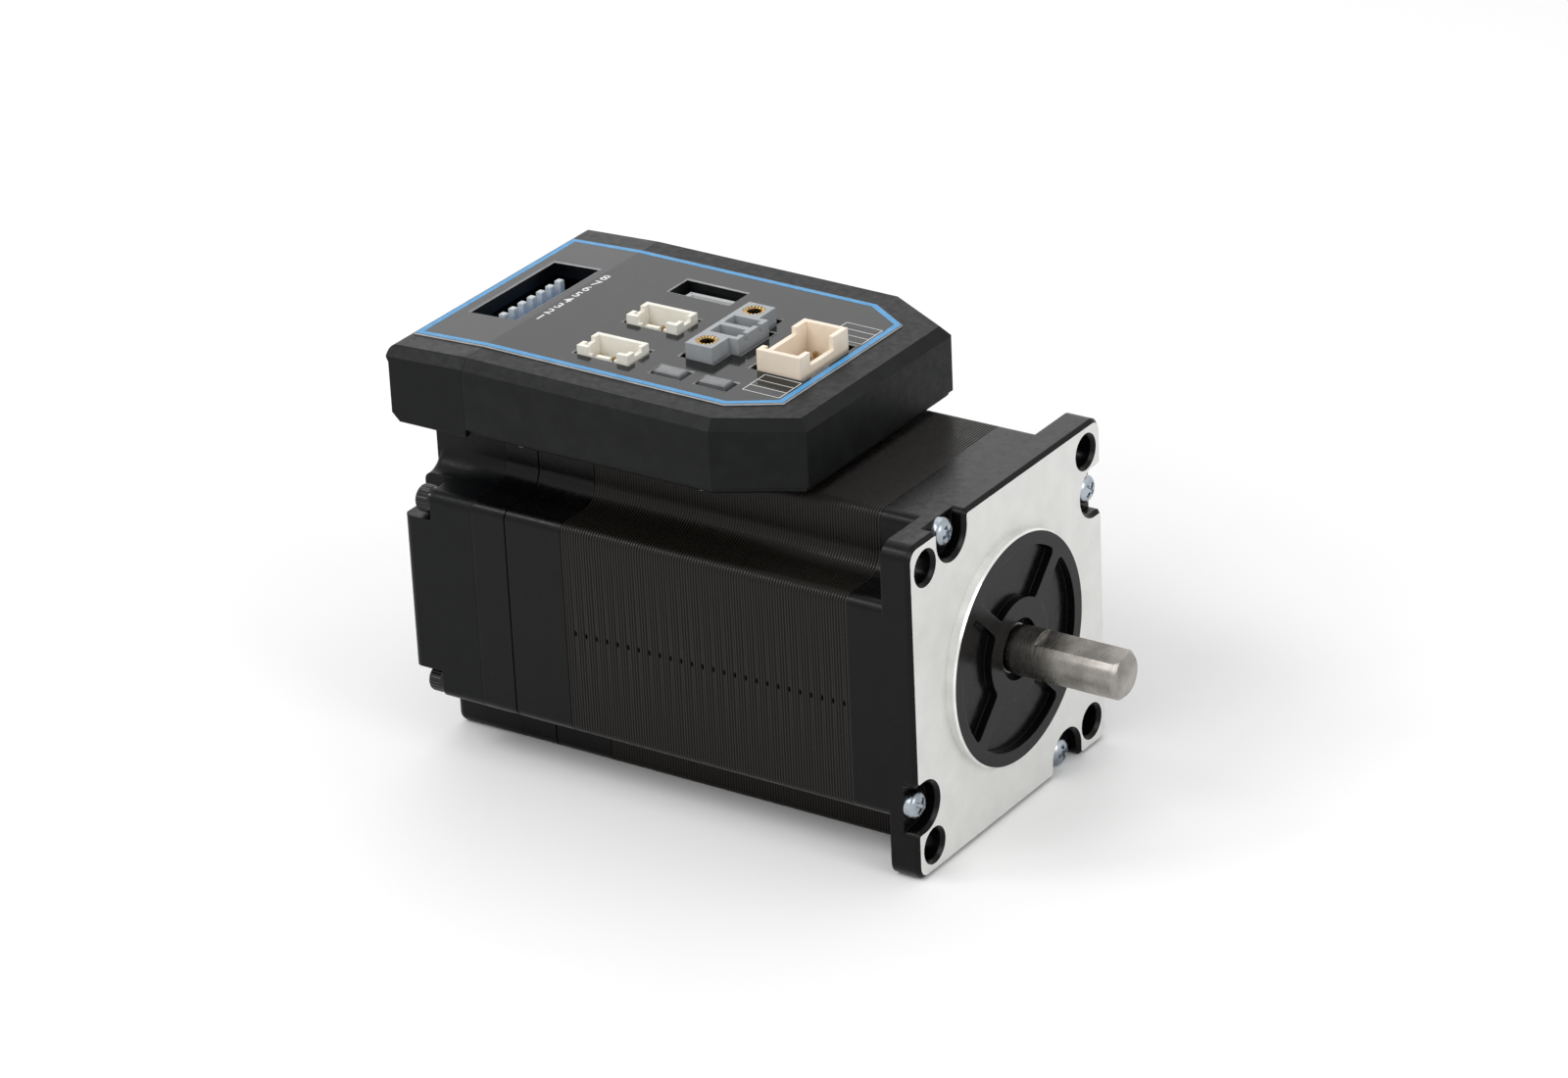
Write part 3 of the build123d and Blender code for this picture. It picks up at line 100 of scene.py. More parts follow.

# Sheets of the stack, the painted shade on its top and the dimples in its near side
SHEET_PITCH = 0.5 * MM
SHEET_GROOVE = 0.18 * MM
SHEET_STEP = 0.12 * MM
SHEET_ROUGHNESS = 0.3
SHEET_GRAIN = 0.6 * MM
SHEET_RELIEF = 0.002 * MM
# Share of each sheet pitch where the painted shade of the gap fades into the rim
STRIPE_STARTS = 0.42
STRIPE_ENDS = 0.5
DIMPLE_LEVEL = -0.3 * MM
DIMPLE_WIDTH = 0.9 * MM
DIMPLE_DEPTH = 0.3 * MM
DIMPLE_EVERY = 4
DIMPLE_FIRST = 2
PAINTED_SHADE_BAND = 3 * MM
PAINTED_SHADE_FACING = 0.3

# Seam between the rear bell and the adapter ring
BELL_SEAM_X = -75.1 * MM
BELL_SEAM_HALF = 0.13 * MM

# Label and its print
LABEL_CREST_X = -81.5 * MM
LABEL_CHAMFER_X = -36.5 * MM
LABEL_NOSE_HALF = 16.9 * MM
PRINT_LIFT = 0.015 * MM
BORDER_INSET = 0.15 * MM
BORDER_WIDTH = 1.0 * MM
CREST_STEP = 0.01
RIM_WIDTH = 0.13 * MM
RULE_WIDTH = 0.16 * MM
RULE_ROWS = 3
NEAR_RULE_LOW = (-37.1 * MM, -15.7 * MM)
NEAR_RULE_HIGH = (-30.4 * MM, -9.5 * MM)
FAR_RULE_LOW = (-36.9 * MM, 7.4 * MM)
FAR_RULE_HIGH = (-30.3 * MM, 13.4 * MM)
NUMERAL_HEIGHT = 1.9 * MM
NUMERAL_SHARE = 0.7
NUMERAL_BOLD = 0.02
NUMERAL_X = -80.3 * MM
NUMERAL_CURVE = 3
DIP_PITCH = 2.54 * MM
DIP_COUNT = 8

# Screws
SHANK_RADIUS = 1.25 * MM
TIP_RADIUS = 0.02 * MM
PAN_RADIUS = 2.3 * MM
PAN_HEIGHT = 1.9 * MM
PAN_RIM = 0.7 * MM
PAN_SHOULDER = 0.8
PAN_DOME = 2.6
PAN_ROWS = 26
PAN_SEGMENTS = 72
CROSS_REACH = 1.35 * MM
CROSS_HALF = 0.33 * MM
CROSS_DEPTH = 1.1 * MM
CROSS_RISE = 0.7
CAP_RADIUS = 2.25 * MM
CAP_HEIGHT = 2.5 * MM
CAP_EDGE = 0.25 * MM
CAP_SEGMENTS = 144
KNURL_COUNT = 24
KNURL_DEPTH = 0.09 * MM
KNURL_ROWS = (3, 4)
HEX_HALF = 1.0 * MM
HEX_DEPTH = 1.3 * MM
HEX_CHAMFER = 0.2 * MM
HEX_ROWS = (8, 9)
SCREW_OFFSET = 15.9 * MM
SCREW_REACH = 25.9 * MM
TIE_TWIST_START = 0.3
TIE_TWIST_STEP = 0.7

# Threaded inserts of the power header
INSERT_RADIUS = 1.8 * MM
INSERT_EDGE = 0.1 * MM
INSERT_SEGMENTS = 128
KNURL_BAND = 1.2 * MM
MOUTH_RADIUS = 1.35 * MM
MOUTH_DEPTH = 0.2 * MM
BORE_RADIUS = 1.15 * MM
BRIGHT_DEPTH = 0.75 * MM
NOTCH_DEPTH = 0.2 * MM
NOTCH_EVERY = 8
NOTCH_STEPS = 4
NOTCH_ROWS = (4, 5)
# First row of the bore that is painted black as shade
PAINTED_SHADE_ROW = 7

# Floor, sky and camera
FLOOR_HALF = 3.0
SKY_LIGHT = 0.7
SKY_SEEN = 1.0
CAMERA_PLACE = Vector((420.756, -672.145, 396.151)) * MM
CAMERA_FORWARD = Vector((-0.51199, 0.74439, -0.42866))
CAMERA_ROLL = math.radians(-2.716)
CAMERA_LENS = 131.6
CAMERA_SENSOR = 36.0
CAMERA_NEAR = 0.05
CAMERA_FAR = 20.0


# Node helpers for materials and the sky


def linear(value):
    """Linear light of a display value from 0 to 255."""
    share = value / 255
    return share / 12.92 if share <= 0.04045 else ((share + 0.055) / 1.055) ** 2.4


def colour(red, green, blue):
    """Shader colour that shows as this display colour."""
    return (linear(red), linear(green), linear(blue), 1.0)


def shader_of(material):
    return material.node_tree.nodes["Principled BSDF"]


def new_material(name, base, roughness, metallic=0.0, specular=0.5):
    material = bpy.data.materials.new(name)
    material.use_nodes = True
    shader = shader_of(material)
    shader.inputs["Base Color"].default_value = base
    shader.inputs["Roughness"].default_value = roughness
    shader.inputs["Metallic"].default_value = metallic
    shader.inputs["Specular IOR Level"].default_value = specular
    return material


def add_node(owner, kind, **values):
    """New shader node whose named inputs are set."""
    made = owner.node_tree.nodes.new(kind)
    for key, value in values.items():
        made.inputs[key.replace("_", " ")].default_value = value
    return made


def join(owner, source, target):
    owner.node_tree.links.new(source, target)


def math_node(owner, operation, source, *values):
    """Result of an operation on source, with its other inputs set."""
    made = add_node(owner, "ShaderNodeMath")
    made.operation = operation
    join(owner, source, made.inputs[0])
    for index, value in enumerate(values, 1):
        made.inputs[index].default_value = value
    return made.outputs["Value"]


def sum_of(owner, first, second):
    """Sum of two outputs, at most 1."""
    made = add_node(owner, "ShaderNodeMath")
    made.operation = "ADD"
    made.use_clamp = True
    join(owner, first, made.inputs[0])
    join(owner, second, made.inputs[1])
    return made.outputs["Value"]


def along_shaft(material):
    """X of the place in object space."""
    place = add_node(material, "ShaderNodeTexCoord")
    split = add_node(material, "ShaderNodeSeparateXYZ")
    join(material, place.outputs["Object"], split.inputs["Vector"])
    return split.outputs["X"]


def grain(material, size, stretch=(1, 1, 1), detail=2.0):
    """Noise in object space with features of this size, longer along an axis with a larger stretch."""
    place = add_node(material, "ShaderNodeTexCoord")
    scale = add_node(material, "ShaderNodeMapping", Scale=tuple(1 / factor for factor in stretch))
    noise = add_node(material, "ShaderNodeTexNoise", Scale=1 / size, Detail=detail)
    join(material, place.outputs["Object"], scale.inputs["Vector"])
    join(material, scale.outputs["Vector"], noise.inputs["Vector"])
    return noise.outputs["Fac"]


def tint(material, source, dark, light, starts=GRAIN_LOW, ends=GRAIN_HIGH):
    """Base colour that goes from dark to light as source goes between two values."""
    ramp = add_node(material, "ShaderNodeValToRGB")
    ramp.color_ramp.elements[0].position = starts
    ramp.color_ramp.elements[0].color = dark
    ramp.color_ramp.elements[1].position = ends
    ramp.color_ramp.elements[1].color = light
    join(material, source, ramp.inputs["Fac"])
    join(material, ramp.outputs["Color"], shader_of(material).inputs["Base Color"])


def rough(material, source, low, high):
    """Roughness that wanders between two values."""
    spread = add_node(
        material, "ShaderNodeMapRange", From_Min=GRAIN_LOW, From_Max=GRAIN_HIGH, To_Min=low, To_Max=high
    )
    join(material, source, spread.inputs["Value"])
    join(material, spread.outputs["Result"], shader_of(material).inputs["Roughness"])


def relief(material, source, depth, edge):
    """Fine surface relief of this depth, with edges that look rounded by the radius edge."""
    bump = add_node(material, "ShaderNodeBump", Distance=depth, Strength=1.0)
    join(material, source, bump.inputs["Height"])
    if edge:
        soft = add_node(material, "ShaderNodeBevel", Radius=edge)
        soft.samples = BEVEL_SAMPLES
        join(material, soft.outputs["Normal"], bump.inputs["Normal"])
    join(material, bump.outputs["Normal"], shader_of(material).inputs["Normal"])


def seam_line(material, level, half_width):
    """Dark line round the shaft axis at this X, where two parts meet."""
    gloss = shader_of(material).inputs["Specular IOR Level"]
    inside = math_node(material, "COMPARE", along_shaft(material), level, half_width)
    fade = add_node(material, "ShaderNodeMapRange", To_Min=gloss.default_value, To_Max=0.0)
    join(material, inside, fade.inputs["Value"])
    join(material, fade.outputs["Result"], gloss)


# Kinds of material


def skin(material, roughness, grain_size, depth, edge):
    """Uneven gloss and fine relief of paint or moulded plastic."""
    rough(material, grain(material, GLOSS_PATCH), roughness - ROUGH_BELOW, roughness + PAINT_ROUGH_ABOVE)
    relief(material, grain(material, grain_size), depth, edge)


def cast_paint(name, dark, light, roughness, specular, grain_size, depth, edge=0.0):
    """Paint, plastic or print with faint mottling."""
    material = new_material(name, dark, roughness, specular=specular)
    tint(material, grain(material, PAINT_MOTTLE), dark, light)
    skin(material, roughness, grain_size, depth, edge)
    return material


def bare_metal(name, dark, light, roughness, stretch, grain_size, depth, edge=0.0):
    """Machined metal with tool marks along the stretched axes."""
    material = new_material(name, light, roughness, metallic=1.0)
    tint(material, grain(material, METAL_MOTTLE), dark, light)
    marks = grain(material, grain_size, stretch, METAL_DETAIL)
    rough(material, marks, roughness - ROUGH_BELOW, roughness + METAL_ROUGH_ABOVE)
    relief(material, marks, depth, edge)
    return material


def sheet_steel(name, rim, specular):
    """Black sheets whose bare rims glint between gaps painted near black as the shade in the grooves."""
    material = new_material(name, rim, SHEET_ROUGHNESS, specular=specular)
    skin(material, SHEET_ROUGHNESS, SHEET_GRAIN, SHEET_RELIEF, 0.0)
    # Painted shade: part of every sheet pitch goes near black for the groove between sheets.
    sheets = math_node(material, "MULTIPLY", along_shaft(material), 1 / SHEET_PITCH)
    share = math_node(material, "FRACT", sheets)
    tint(material, share, colour(1, 1, 1), rim, STRIPE_STARTS, STRIPE_ENDS)
    return material


# Paints

paint_black = cast_paint(
    "paint_black",
    colour(5, 5, 6),
    colour(8, 8, 9),
    roughness=0.25,
    specular=0.155,
    grain_size=0.9 * MM,
    depth=0.004 * MM,
    edge=0.3 * MM,
)
seam_line(paint_black, BELL_SEAM_X, BELL_SEAM_HALF)
cover_black = cast_paint(
    "cover_black",
    colour(5, 6, 7),
    colour(9, 10, 12),
    roughness=0.36,
    specular=0.14,
    grain_size=0.5 * MM,
    depth=0.004 * MM,
    edge=0.35 * MM,
)
case_black = cast_paint(
    "case_black",
    colour(8, 9, 10),
    colour(16, 17, 18),
    roughness=0.45,
    specular=0.15,
    grain_size=0.14 * MM,
    depth=0.02 * MM,
    edge=0.15 * MM,
)
pilot_black = cast_paint(
    "pilot_black",
    colour(6, 6, 7),
    colour(10, 10, 11),
    roughness=0.22,
    specular=0.17,
    grain_size=1.6 * MM,
    depth=0.002 * MM,
    edge=0.2 * MM,
)
screw_black = cast_paint(
    "screw_black",
    colour(7, 7, 8),
    colour(12, 12, 13),
    roughness=0.16,
    specular=0.3,
    grain_size=0.4 * MM,
    depth=0.002 * MM,
    edge=0.08 * MM,
)
# Dead black without gloss, painted as shade in the dimples of the stack and in the bores and notches of
# the inserts.
painted_shade_black = cast_paint(
    "painted_shade_black",
    colour(1, 1, 1),
    colour(2, 2, 2),
    roughness=0.9,
    specular=0.0,
    grain_size=0.3 * MM,
    depth=0.001 * MM,
)

# Label film and print

label_film = cast_paint(
    "label_film",
    colour(22, 23, 23),
    colour(28, 29, 29),
    roughness=0.11,
    specular=0.16,
    grain_size=0.3 * MM,
    depth=0.0008 * MM,
)
label_edge = cast_paint(
    "label_edge",
    colour(190, 190, 190),
    colour(220, 220, 220),
    roughness=0.5,
    specular=0.4,
    grain_size=0.2 * MM,
    depth=0.004 * MM,
)
border_blue = cast_paint(
    "border_blue",
    colour(54, 136, 190),
    colour(64, 146, 200),
    roughness=0.4,
    specular=0.3,
    grain_size=0.2 * MM,
    depth=0.001 * MM,
)
print_white = cast_paint(
    "print_white",
    colour(205, 206, 205),
    colour(222, 222, 220),
    roughness=0.5,
    specular=0.3,
    grain_size=0.2 * MM,
    depth=0.001 * MM,
)
print_grey = cast_paint(
    "print_grey",
    colour(128, 129, 129),
    colour(140, 141, 141),
    roughness=0.5,
    specular=0.3,
    grain_size=0.2 * MM,
    depth=0.001 * MM,
)

# Plastics

socket_ivory = cast_paint(
    "socket_ivory",
    colour(230, 227, 216),
    colour(237, 235, 225),
    roughness=0.42,
    specular=0.4,
    grain_size=0.5 * MM,
    depth=0.002 * MM,
    edge=0.1 * MM,
)
socket_grey = cast_paint(
    "socket_grey",
    colour(196, 199, 201),
    colour(210, 212, 213),
    roughness=0.42,
    specular=0.4,
    grain_size=0.5 * MM,
    depth=0.002 * MM,
    edge=0.1 * MM,
)
power_grey = cast_paint(
    "power_grey",
    colour(146, 150, 153),
    colour(156, 160, 163),
    roughness=0.4,
    specular=0.4,
    grain_size=0.4 * MM,
    depth=0.003 * MM,
    edge=0.1 * MM,
)
signal_beige = cast_paint(
    "signal_beige",
    colour(236, 221, 201),
    colour(243, 230, 212),
    roughness=0.42,
    specular=0.4,
    grain_size=0.5 * MM,
    depth=0.002 * MM,
    edge=0.1 * MM,
)
paddle_grey = cast_paint(
    "paddle_grey",
    colour(190, 195, 199),
    colour(206, 210, 213),
    roughness=0.42,
    specular=0.4,
    grain_size=0.3 * MM,
    depth=0.002 * MM,
    edge=0.12 * MM,
)
# Brighter than the switch's own blue: painted light, so that it shows in the shade of its recess.
dip_blue = cast_paint(
    "dip_blue",
    colour(70, 160, 236),
    colour(84, 174, 246),
    roughness=0.42,
    specular=0.4,
    grain_size=0.2 * MM,
    depth=0.003 * MM,
    edge=0.08 * MM,
)
board_green = cast_paint(
    "board_green",
    colour(12, 26, 18),
    colour(18, 40, 26),
    roughness=0.4,
    specular=0.3,
    grain_size=0.5 * MM,
    depth=0.01 * MM,
)
pipe_smoke = cast_paint(
    "pipe_smoke",
    colour(92, 95, 97),
    colour(106, 109, 111),
    roughness=0.3,
    specular=0.4,
    grain_size=0.8 * MM,
    depth=0.001 * MM,
    edge=0.15 * MM,
)
lead_red = cast_paint(
    "lead_red",
    colour(150, 24, 20),
    colour(176, 34, 28),
    roughness=0.45,
    specular=0.4,
    grain_size=0.3 * MM,
    depth=0.006 * MM,
)
insulator_white = cast_paint(
    "insulator_white",
    colour(214, 208, 192),
    colour(228, 222, 206),
    roughness=0.5,
    specular=0.4,
    grain_size=0.3 * MM,
    depth=0.006 * MM,
    edge=0.1 * MM,
)

# Metals

sheet_black = sheet_steel("sheet_black", colour(37, 33, 29), 0.17)
# Darker copy of the sheets for the upward faces near the top of the stack: painted shade.
sheet_painted_shade = sheet_steel("sheet_painted_shade", colour(22, 20, 18), 0.03)
flange_satin = bare_metal(
    "flange_satin",
    colour(217, 217, 215),
    colour(223, 223, 221),
    roughness=0.62,
    stretch=(1, 4, 4),
    grain_size=0.25 * MM,
    depth=0.0004 * MM,
)
rim_polished = bare_metal(
    "rim_polished",
    colour(222, 222, 220),
    colour(238, 238, 236),
    roughness=0.12,
    stretch=(1, 6, 6),
    grain_size=0.2 * MM,
    depth=0.0006 * MM,
)
shaft_ground = bare_metal(
    "shaft_ground",
    colour(124, 121, 116),
    colour(163, 159, 154),
    roughness=0.26,
    stretch=(1, 20, 20),
    grain_size=0.1 * MM,
    depth=0.0006 * MM,
    edge=0.12 * MM,
)
steel_bright = bare_metal(
    "steel_bright",
    colour(176, 176, 178),
    colour(204, 204, 206),
    roughness=0.24,
    stretch=(1, 8, 8),
    grain_size=0.1 * MM,
    depth=0.001 * MM,
    edge=0.05 * MM,
)
zinc_bright = bare_metal(
    "zinc_bright",
    colour(132, 140, 148),
    colour(182, 189, 196),
    roughness=0.24,
    stretch=(1, 1, 1),
    grain_size=0.5 * MM,
    depth=0.0015 * MM,
    edge=0.05 * MM,
)
brass_gold = bare_metal(
    "brass_gold",
    colour(164, 136, 88),
    colour(202, 172, 118),
    roughness=0.28,
    stretch=(1, 1, 1),
    grain_size=0.2 * MM,
    depth=0.002 * MM,
    edge=0.05 * MM,
)
copper_wire = bare_metal(
    "copper_wire",
    colour(150, 76, 40),
    colour(186, 104, 60),
    roughness=0.35,
    stretch=(20, 1, 1),
    grain_size=0.25 * MM,
    depth=0.05 * MM,
)
magnet_nickel = bare_metal(
    "magnet_nickel",
    colour(120, 121, 124),
    colour(146, 147, 150),
    roughness=0.3,
    stretch=(1, 1, 1),
    grain_size=0.3 * MM,
    depth=0.003 * MM,
)

# Finishes of the frame's nodes, by material slot

finishes = {
    "cast_black": paint_black,
    "flange_metal": paint_black,
    "lamination": sheet_black,
    "cover_black": cover_black,
    "case_black": case_black,
    "label_print": label_film,
    "shaft_steel": shaft_ground,
    "bearing_steel": steel_bright,
    "cage_brass": brass_gold,
    "magnet_grey": magnet_nickel,
    "insulator_plastic": insulator_white,
    "coil_copper": copper_wire,
    "hub_aluminium": rim_polished,
    "board_green": board_green,
    "dip_blue": dip_blue,
    "paddle_grey": paddle_grey,
    "socket_ivory": socket_ivory,
    "socket_grey": socket_grey,
    "power_grey": power_grey,
    "signal_beige": signal_beige,
    "pin_gold": brass_gold,
    "insert_brass": brass_gold,
    "light_pipe_smoke": pipe_smoke,
    "screw_zinc": zinc_bright,
    "screw_black": screw_black,
    "lead_red": lead_red,
}
slot_of = {part["node"]: part["material_slot"] for part in frame["record"]["subparts"]}
for name, cad in nodes.items():
    cad.data.materials.clear()
    cad.data.materials.append(finishes[slot_of[name]])


# Faces of the frame that have a finish of their own


def finish_faces(name, material, wanted):
    """Gives the material to the faces of a CAD node for which wanted(face) is true."""
    mesh = nodes[name].data
    mesh.materials.append(material)
    index = len(mesh.materials) - 1
    for face in mesh.polygons:
        if wanted(face):
            face.material_index = index


def on_mounting_face(face):
    return abs(face.center.x) < PICK and face.normal.x > FACING


def on_pilot_side(face):
    reach = math.hypot(face.center.y, face.center.z)
    return face.center.x > PICK and abs(face.normal.x) < FACING and reach > PILOT_WALL


def on_pilot_face(face):
    return face.center.x > PICK


def on_cut_edge(face):
    return abs(face.normal.z) < STANDING


finish_faces("front_flange", pilot_black, on_pilot_face)
finish_faces("front_flange", flange_satin, on_mounting_face)
finish_faces("front_flange", rim_polished, on_pilot_side)
finish_faces("face_label", label_edge, on_cut_edge)


# Outlines


def key(point):
    """Rounded place in a plane, so that equal corners match."""
    return (round(point[0] * KEYS_PER_METRE), round(point[1] * KEYS_PER_METRE))


def across_shaft(corner):
    return (corner.y, corner.z)


def in_plan(corner):
    return (corner.x, corner.y)


def free_edges(mesh, wanted, flat):
    """Place of each corner of the wanted faces, and the corners beside it along their free edges."""
    uses = {}
    place = {}
    for face in mesh.polygons:
        if not wanted(face):
            continue
        points = [flat(mesh.vertices[index].co) for index in face.vertices]
        for start, end in zip(points, points[1:] + points[:1]):
            edge = frozenset((key(start), key(end)))
            uses[edge] = uses.get(edge, 0) + 1
            place[key(start)] = start
            place[key(end)] = end
    beside = {}
    for edge, count in uses.items():
        if count == 1 and len(edge) == 2:
            start, end = edge
            beside.setdefault(start, []).append(end)
            beside.setdefault(end, []).append(start)
    return place, beside


def walk(beside, first):
    """Corners of the closed outline that holds this one, in order."""
    corners = [first]
    previous, current = first, beside[first][0]
    while current != first:
        corners.append(current)
        onward = [corner for corner in beside[current] if corner != previous]
        previous, current = current, onward[0]
    return corners


def inward(points):
    """Unit vectors that point into the outline at each point."""
    area = sum(a[0] * b[1] - b[0] * a[1] for a, b in zip(points, points[1:] + points[:1]))
    turn = 1 if area > 0 else -1
    ways = []
    for before, after in zip(points[-1:] + points[:-1], points[1:] + points[:1]):
        run = Vector((after[0] - before[0], after[1] - before[1])).normalized()
        ways.append((-run.y * turn, run.x * turn))
    return ways


def length_of(loop):
    levels = [point[0] for point in loop]
    return max(levels) - min(levels)


# Pieces


def make_piece(name, vertices, faces, material, replaces=()):
    """Mesh object that rides on the motor body and may stand for CAD nodes."""
    mesh = bpy.data.meshes.new(name)
    mesh.from_pydata(vertices, [], faces)
    mesh.validate()
    mesh.materials.append(material)
    piece = bpy.data.objects.new(name, mesh)
    bpy.context.scene.collection.objects.link(piece)
    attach(piece, "motor")
    if replaces:
        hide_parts(*replaces)
    return piece


# Stator stack with its sheets


def with_dimple(loop):
    """The outline with three added points for the dimple in the near side face."""
    points = []
    dimple = []
    for start, end in zip(loop, loop[1:] + loop[:1]):
        points.append(start)
        on_side = max(start[0], end[0]) < PICK - half_body
        if on_side and min(start[1], end[1]) < DIMPLE_LEVEL < max(start[1], end[1]):
            way = math.copysign(1, end[1] - start[1])
            for offset in (-DIMPLE_WIDTH / 2, 0, DIMPLE_WIDTH / 2):
                dimple.append(len(points))
                points.append((start[0], DIMPLE_LEVEL + way * offset))
    return points, dimple


def sheet_rings():
    """Rows of the outer wall from front to rear, as (x, step inwards, whether dimpled)."""
    sheet_count = round((stack_high.x - stack_low.x) / SHEET_PITCH)
    rings = [(stack_high.x, 0.0, False)]
    for sheet in range(sheet_count):
        front = stack_high.x - sheet * SHEET_PITCH
        dented = sheet % DIMPLE_EVERY == DIMPLE_FIRST
        rings.append((front - SHEET_GROOVE / 2, 0.0, dented))
        rings.append((front - SHEET_PITCH + SHEET_GROOVE, 0.0, dented))
        rings.append((front - SHEET_PITCH + SHEET_GROOVE / 2, SHEET_STEP, False))
    rings.append((stack_low.x, 0.0, False))
    return rings


def on_front_cap(face):
    return abs(face.center.x - stack_high.x) <= PICK and abs(face.normal.x) >= FACING


def stack_sheets():
    """Stack whose outer wall shows every sheet, with the caps, poles and bore of the CAD node."""
    mesh = nodes["stator_stack"].data
    place, beside = free_edges(mesh, on_front_cap, across_shaft)
    farthest = max(beside, key=lambda corner: math.hypot(*corner))
    loop = [place[corner] for corner in walk(beside, farthest)]
    outline = {key(point) for point in loop}
    vertices = [vertex.co.copy() for vertex in mesh.vertices]
    faces = []
    for face in mesh.polygons:
        on_wall = all(key(across_shaft(mesh.vertices[index].co)) in outline for index in face.vertices)
        if not (on_wall and abs(face.normal.x) < STANDING):
            faces.append(tuple(face.vertices))
    points, dimple = with_dimple(loop)
    ways = inward(points)
    rings = sheet_rings()
    start = len(vertices)
    for level, step, dented in rings:
        for index, ((y, z), (in_y, in_z)) in enumerate(zip(points, ways)):
            depth = step
            if dented and index in dimple:
                depth = DIMPLE_DEPTH if index == dimple[1] else DIMPLE_DEPTH / 2
            vertices.append(Vector((level, y + in_y * depth, z + in_z * depth)))
    size = len(points)
    painted_shade_faces = []
    for ring in range(len(rings) - 1):
        for index in range(size):
            following = (index + 1) % size
            low = start + ring * size
            # The middle faces of each dimple are painted black as shade.
            if index in dimple[:2] and rings[ring][2] and rings[ring + 1][2]:
                painted_shade_faces.append(len(faces))
            faces.append((low + index, low + following, low + size + following, low + size + index))
    piece = make_piece("stack_sheets", vertices, faces, sheet_black, ["stator_stack"])
    piece.data.materials.append(painted_shade_black)
    piece.data.materials.append(sheet_painted_shade)
    for index in painted_shade_faces:
        piece.data.polygons[index].material_index = PAINTED_BLACK_SLOT
    even = bmesh.new()
    even.from_mesh(piece.data)
    bmesh.ops.recalc_face_normals(even, faces=even.faces)
    even.to_mesh(piece.data)
    even.free()
    # Upward faces in a band under the top of the stack take the darker sheets as painted shade.
    for face in piece.data.polygons:
        if face.normal.z > PAINTED_SHADE_FACING and face.center.z > half_body - PAINTED_SHADE_BAND:
            face.material_index = PAINTED_SHADE_SLOT


stack_sheets()


# Label print


def label_top(x, y):
    """Height of the label's face over a place in plan."""
    heights = []
    for step in (-PICK, 0.0, PICK):
        above = Vector((x + step, y + step, HIGH_ABOVE))
        hit, place, _, _ = nodes["face_label"].ray_cast(above, Vector((0, 0, -1)))
        if hit:
            heights.append(place.z)
    return max(heights) if heights else label_high.z


def printed(x, y):
    """Point of the print over a place in plan."""
    return (x, y, label_top(x, y) + PRINT_LIFT)


def shrink(corners, amount):
    """An anticlockwise outline, with every side moved in by amount."""
    sides = []
    for start, end in zip(corners, corners[1:] + corners[:1]):
        run = (Vector(end) - Vector(start)).normalized()
        sides.append((Vector(start) + Vector((-run.y, run.x)) * amount, run))
    moved = []
    for (point_a, run_a), (point_b, run_b) in zip(sides[-1:] + sides[:-1], sides):
        gap = point_b - point_a
        share = (gap.x * run_b.y - gap.y * run_b.x) / (run_a.x * run_b.y - run_a.y * run_b.x)
        moved.append(point_a + run_a * share)
    return moved


def printed_ring(name, corners, start, width, material):
    """Flat printed line that follows an outline on the label and bends over the crest."""
    outer = shrink(corners, start)
    inner = shrink(corners, start + width)
    vertices = []
    faces = []
    for index, (out_a, in_a) in enumerate(zip(outer, inner)):
        out_b = outer[(index + 1) % len(outer)]
        in_b = inner[(index + 1) % len(inner)]
        shares = [0.0, 1.0]
        if (out_a.x - LABEL_CREST_X) * (out_b.x - LABEL_CREST_X) < 0:
            crossing = (LABEL_CREST_X - out_a.x) / (out_b.x - out_a.x)
            shares = [0.0, crossing - CREST_STEP, crossing, crossing + CREST_STEP, 1.0]
        first = len(vertices)
        for share in shares:
            for point in (out_a.lerp(out_b, share), in_a.lerp(in_b, share)):
                vertices.append(printed(point.x, point.y))
        for part in range(len(shares) - 1):
            low = first + 2 * part
            faces.append((low, low + 1, low + 3, low + 2))
    make_piece(name, vertices, faces, material)


label_half = label_high.y
label_corners = [
    (label_low.x, label_half),
    (label_low.x, -label_half),
    (LABEL_CHAMFER_X, -label_half),
    (label_high.x, -LABEL_NOSE_HALF),
    (label_high.x, LABEL_NOSE_HALF),
    (LABEL_CHAMFER_X, label_half),
]
printed_ring("label_border", label_corners, BORDER_INSET, BORDER_WIDTH, border_blue)


def on_label_face(face):
    return face.normal.z >= FACING


def opening_rim(name, loop):
    """Thin light line round one opening of the label, where the film is cut."""
    vertices = []
    for (x, y), (in_x, in_y) in zip(loop, inward(loop)):
        height = label_top(x - in_x * PICK, y - in_y * PICK) + PRINT_LIFT
        vertices.append((x, y, height))
        x -= in_x * RIM_WIDTH
        y -= in_y * RIM_WIDTH
        vertices.append((x, y, height))
    size = len(vertices)
    faces = [(low, low + 1, (low + 3) % size, (low + 2) % size) for low in range(0, size, 2)]
    make_piece(name, vertices, faces, print_grey)


def label_openings():
    """Outlines of the openings in the label's upper face, in plan."""
    place, beside = free_edges(nodes["face_label"].data, on_label_face, in_plan)
    loops = []
    waiting = set(beside)
    while waiting:
        corners = walk(beside, min(waiting))
        waiting -= set(corners)
        loops.append([place[corner] for corner in corners])
    loops.remove(max(loops, key=length_of))
    return loops


for number, loop in enumerate(label_openings(), 1):
    opening_rim(f"opening_rim_{number}", loop)


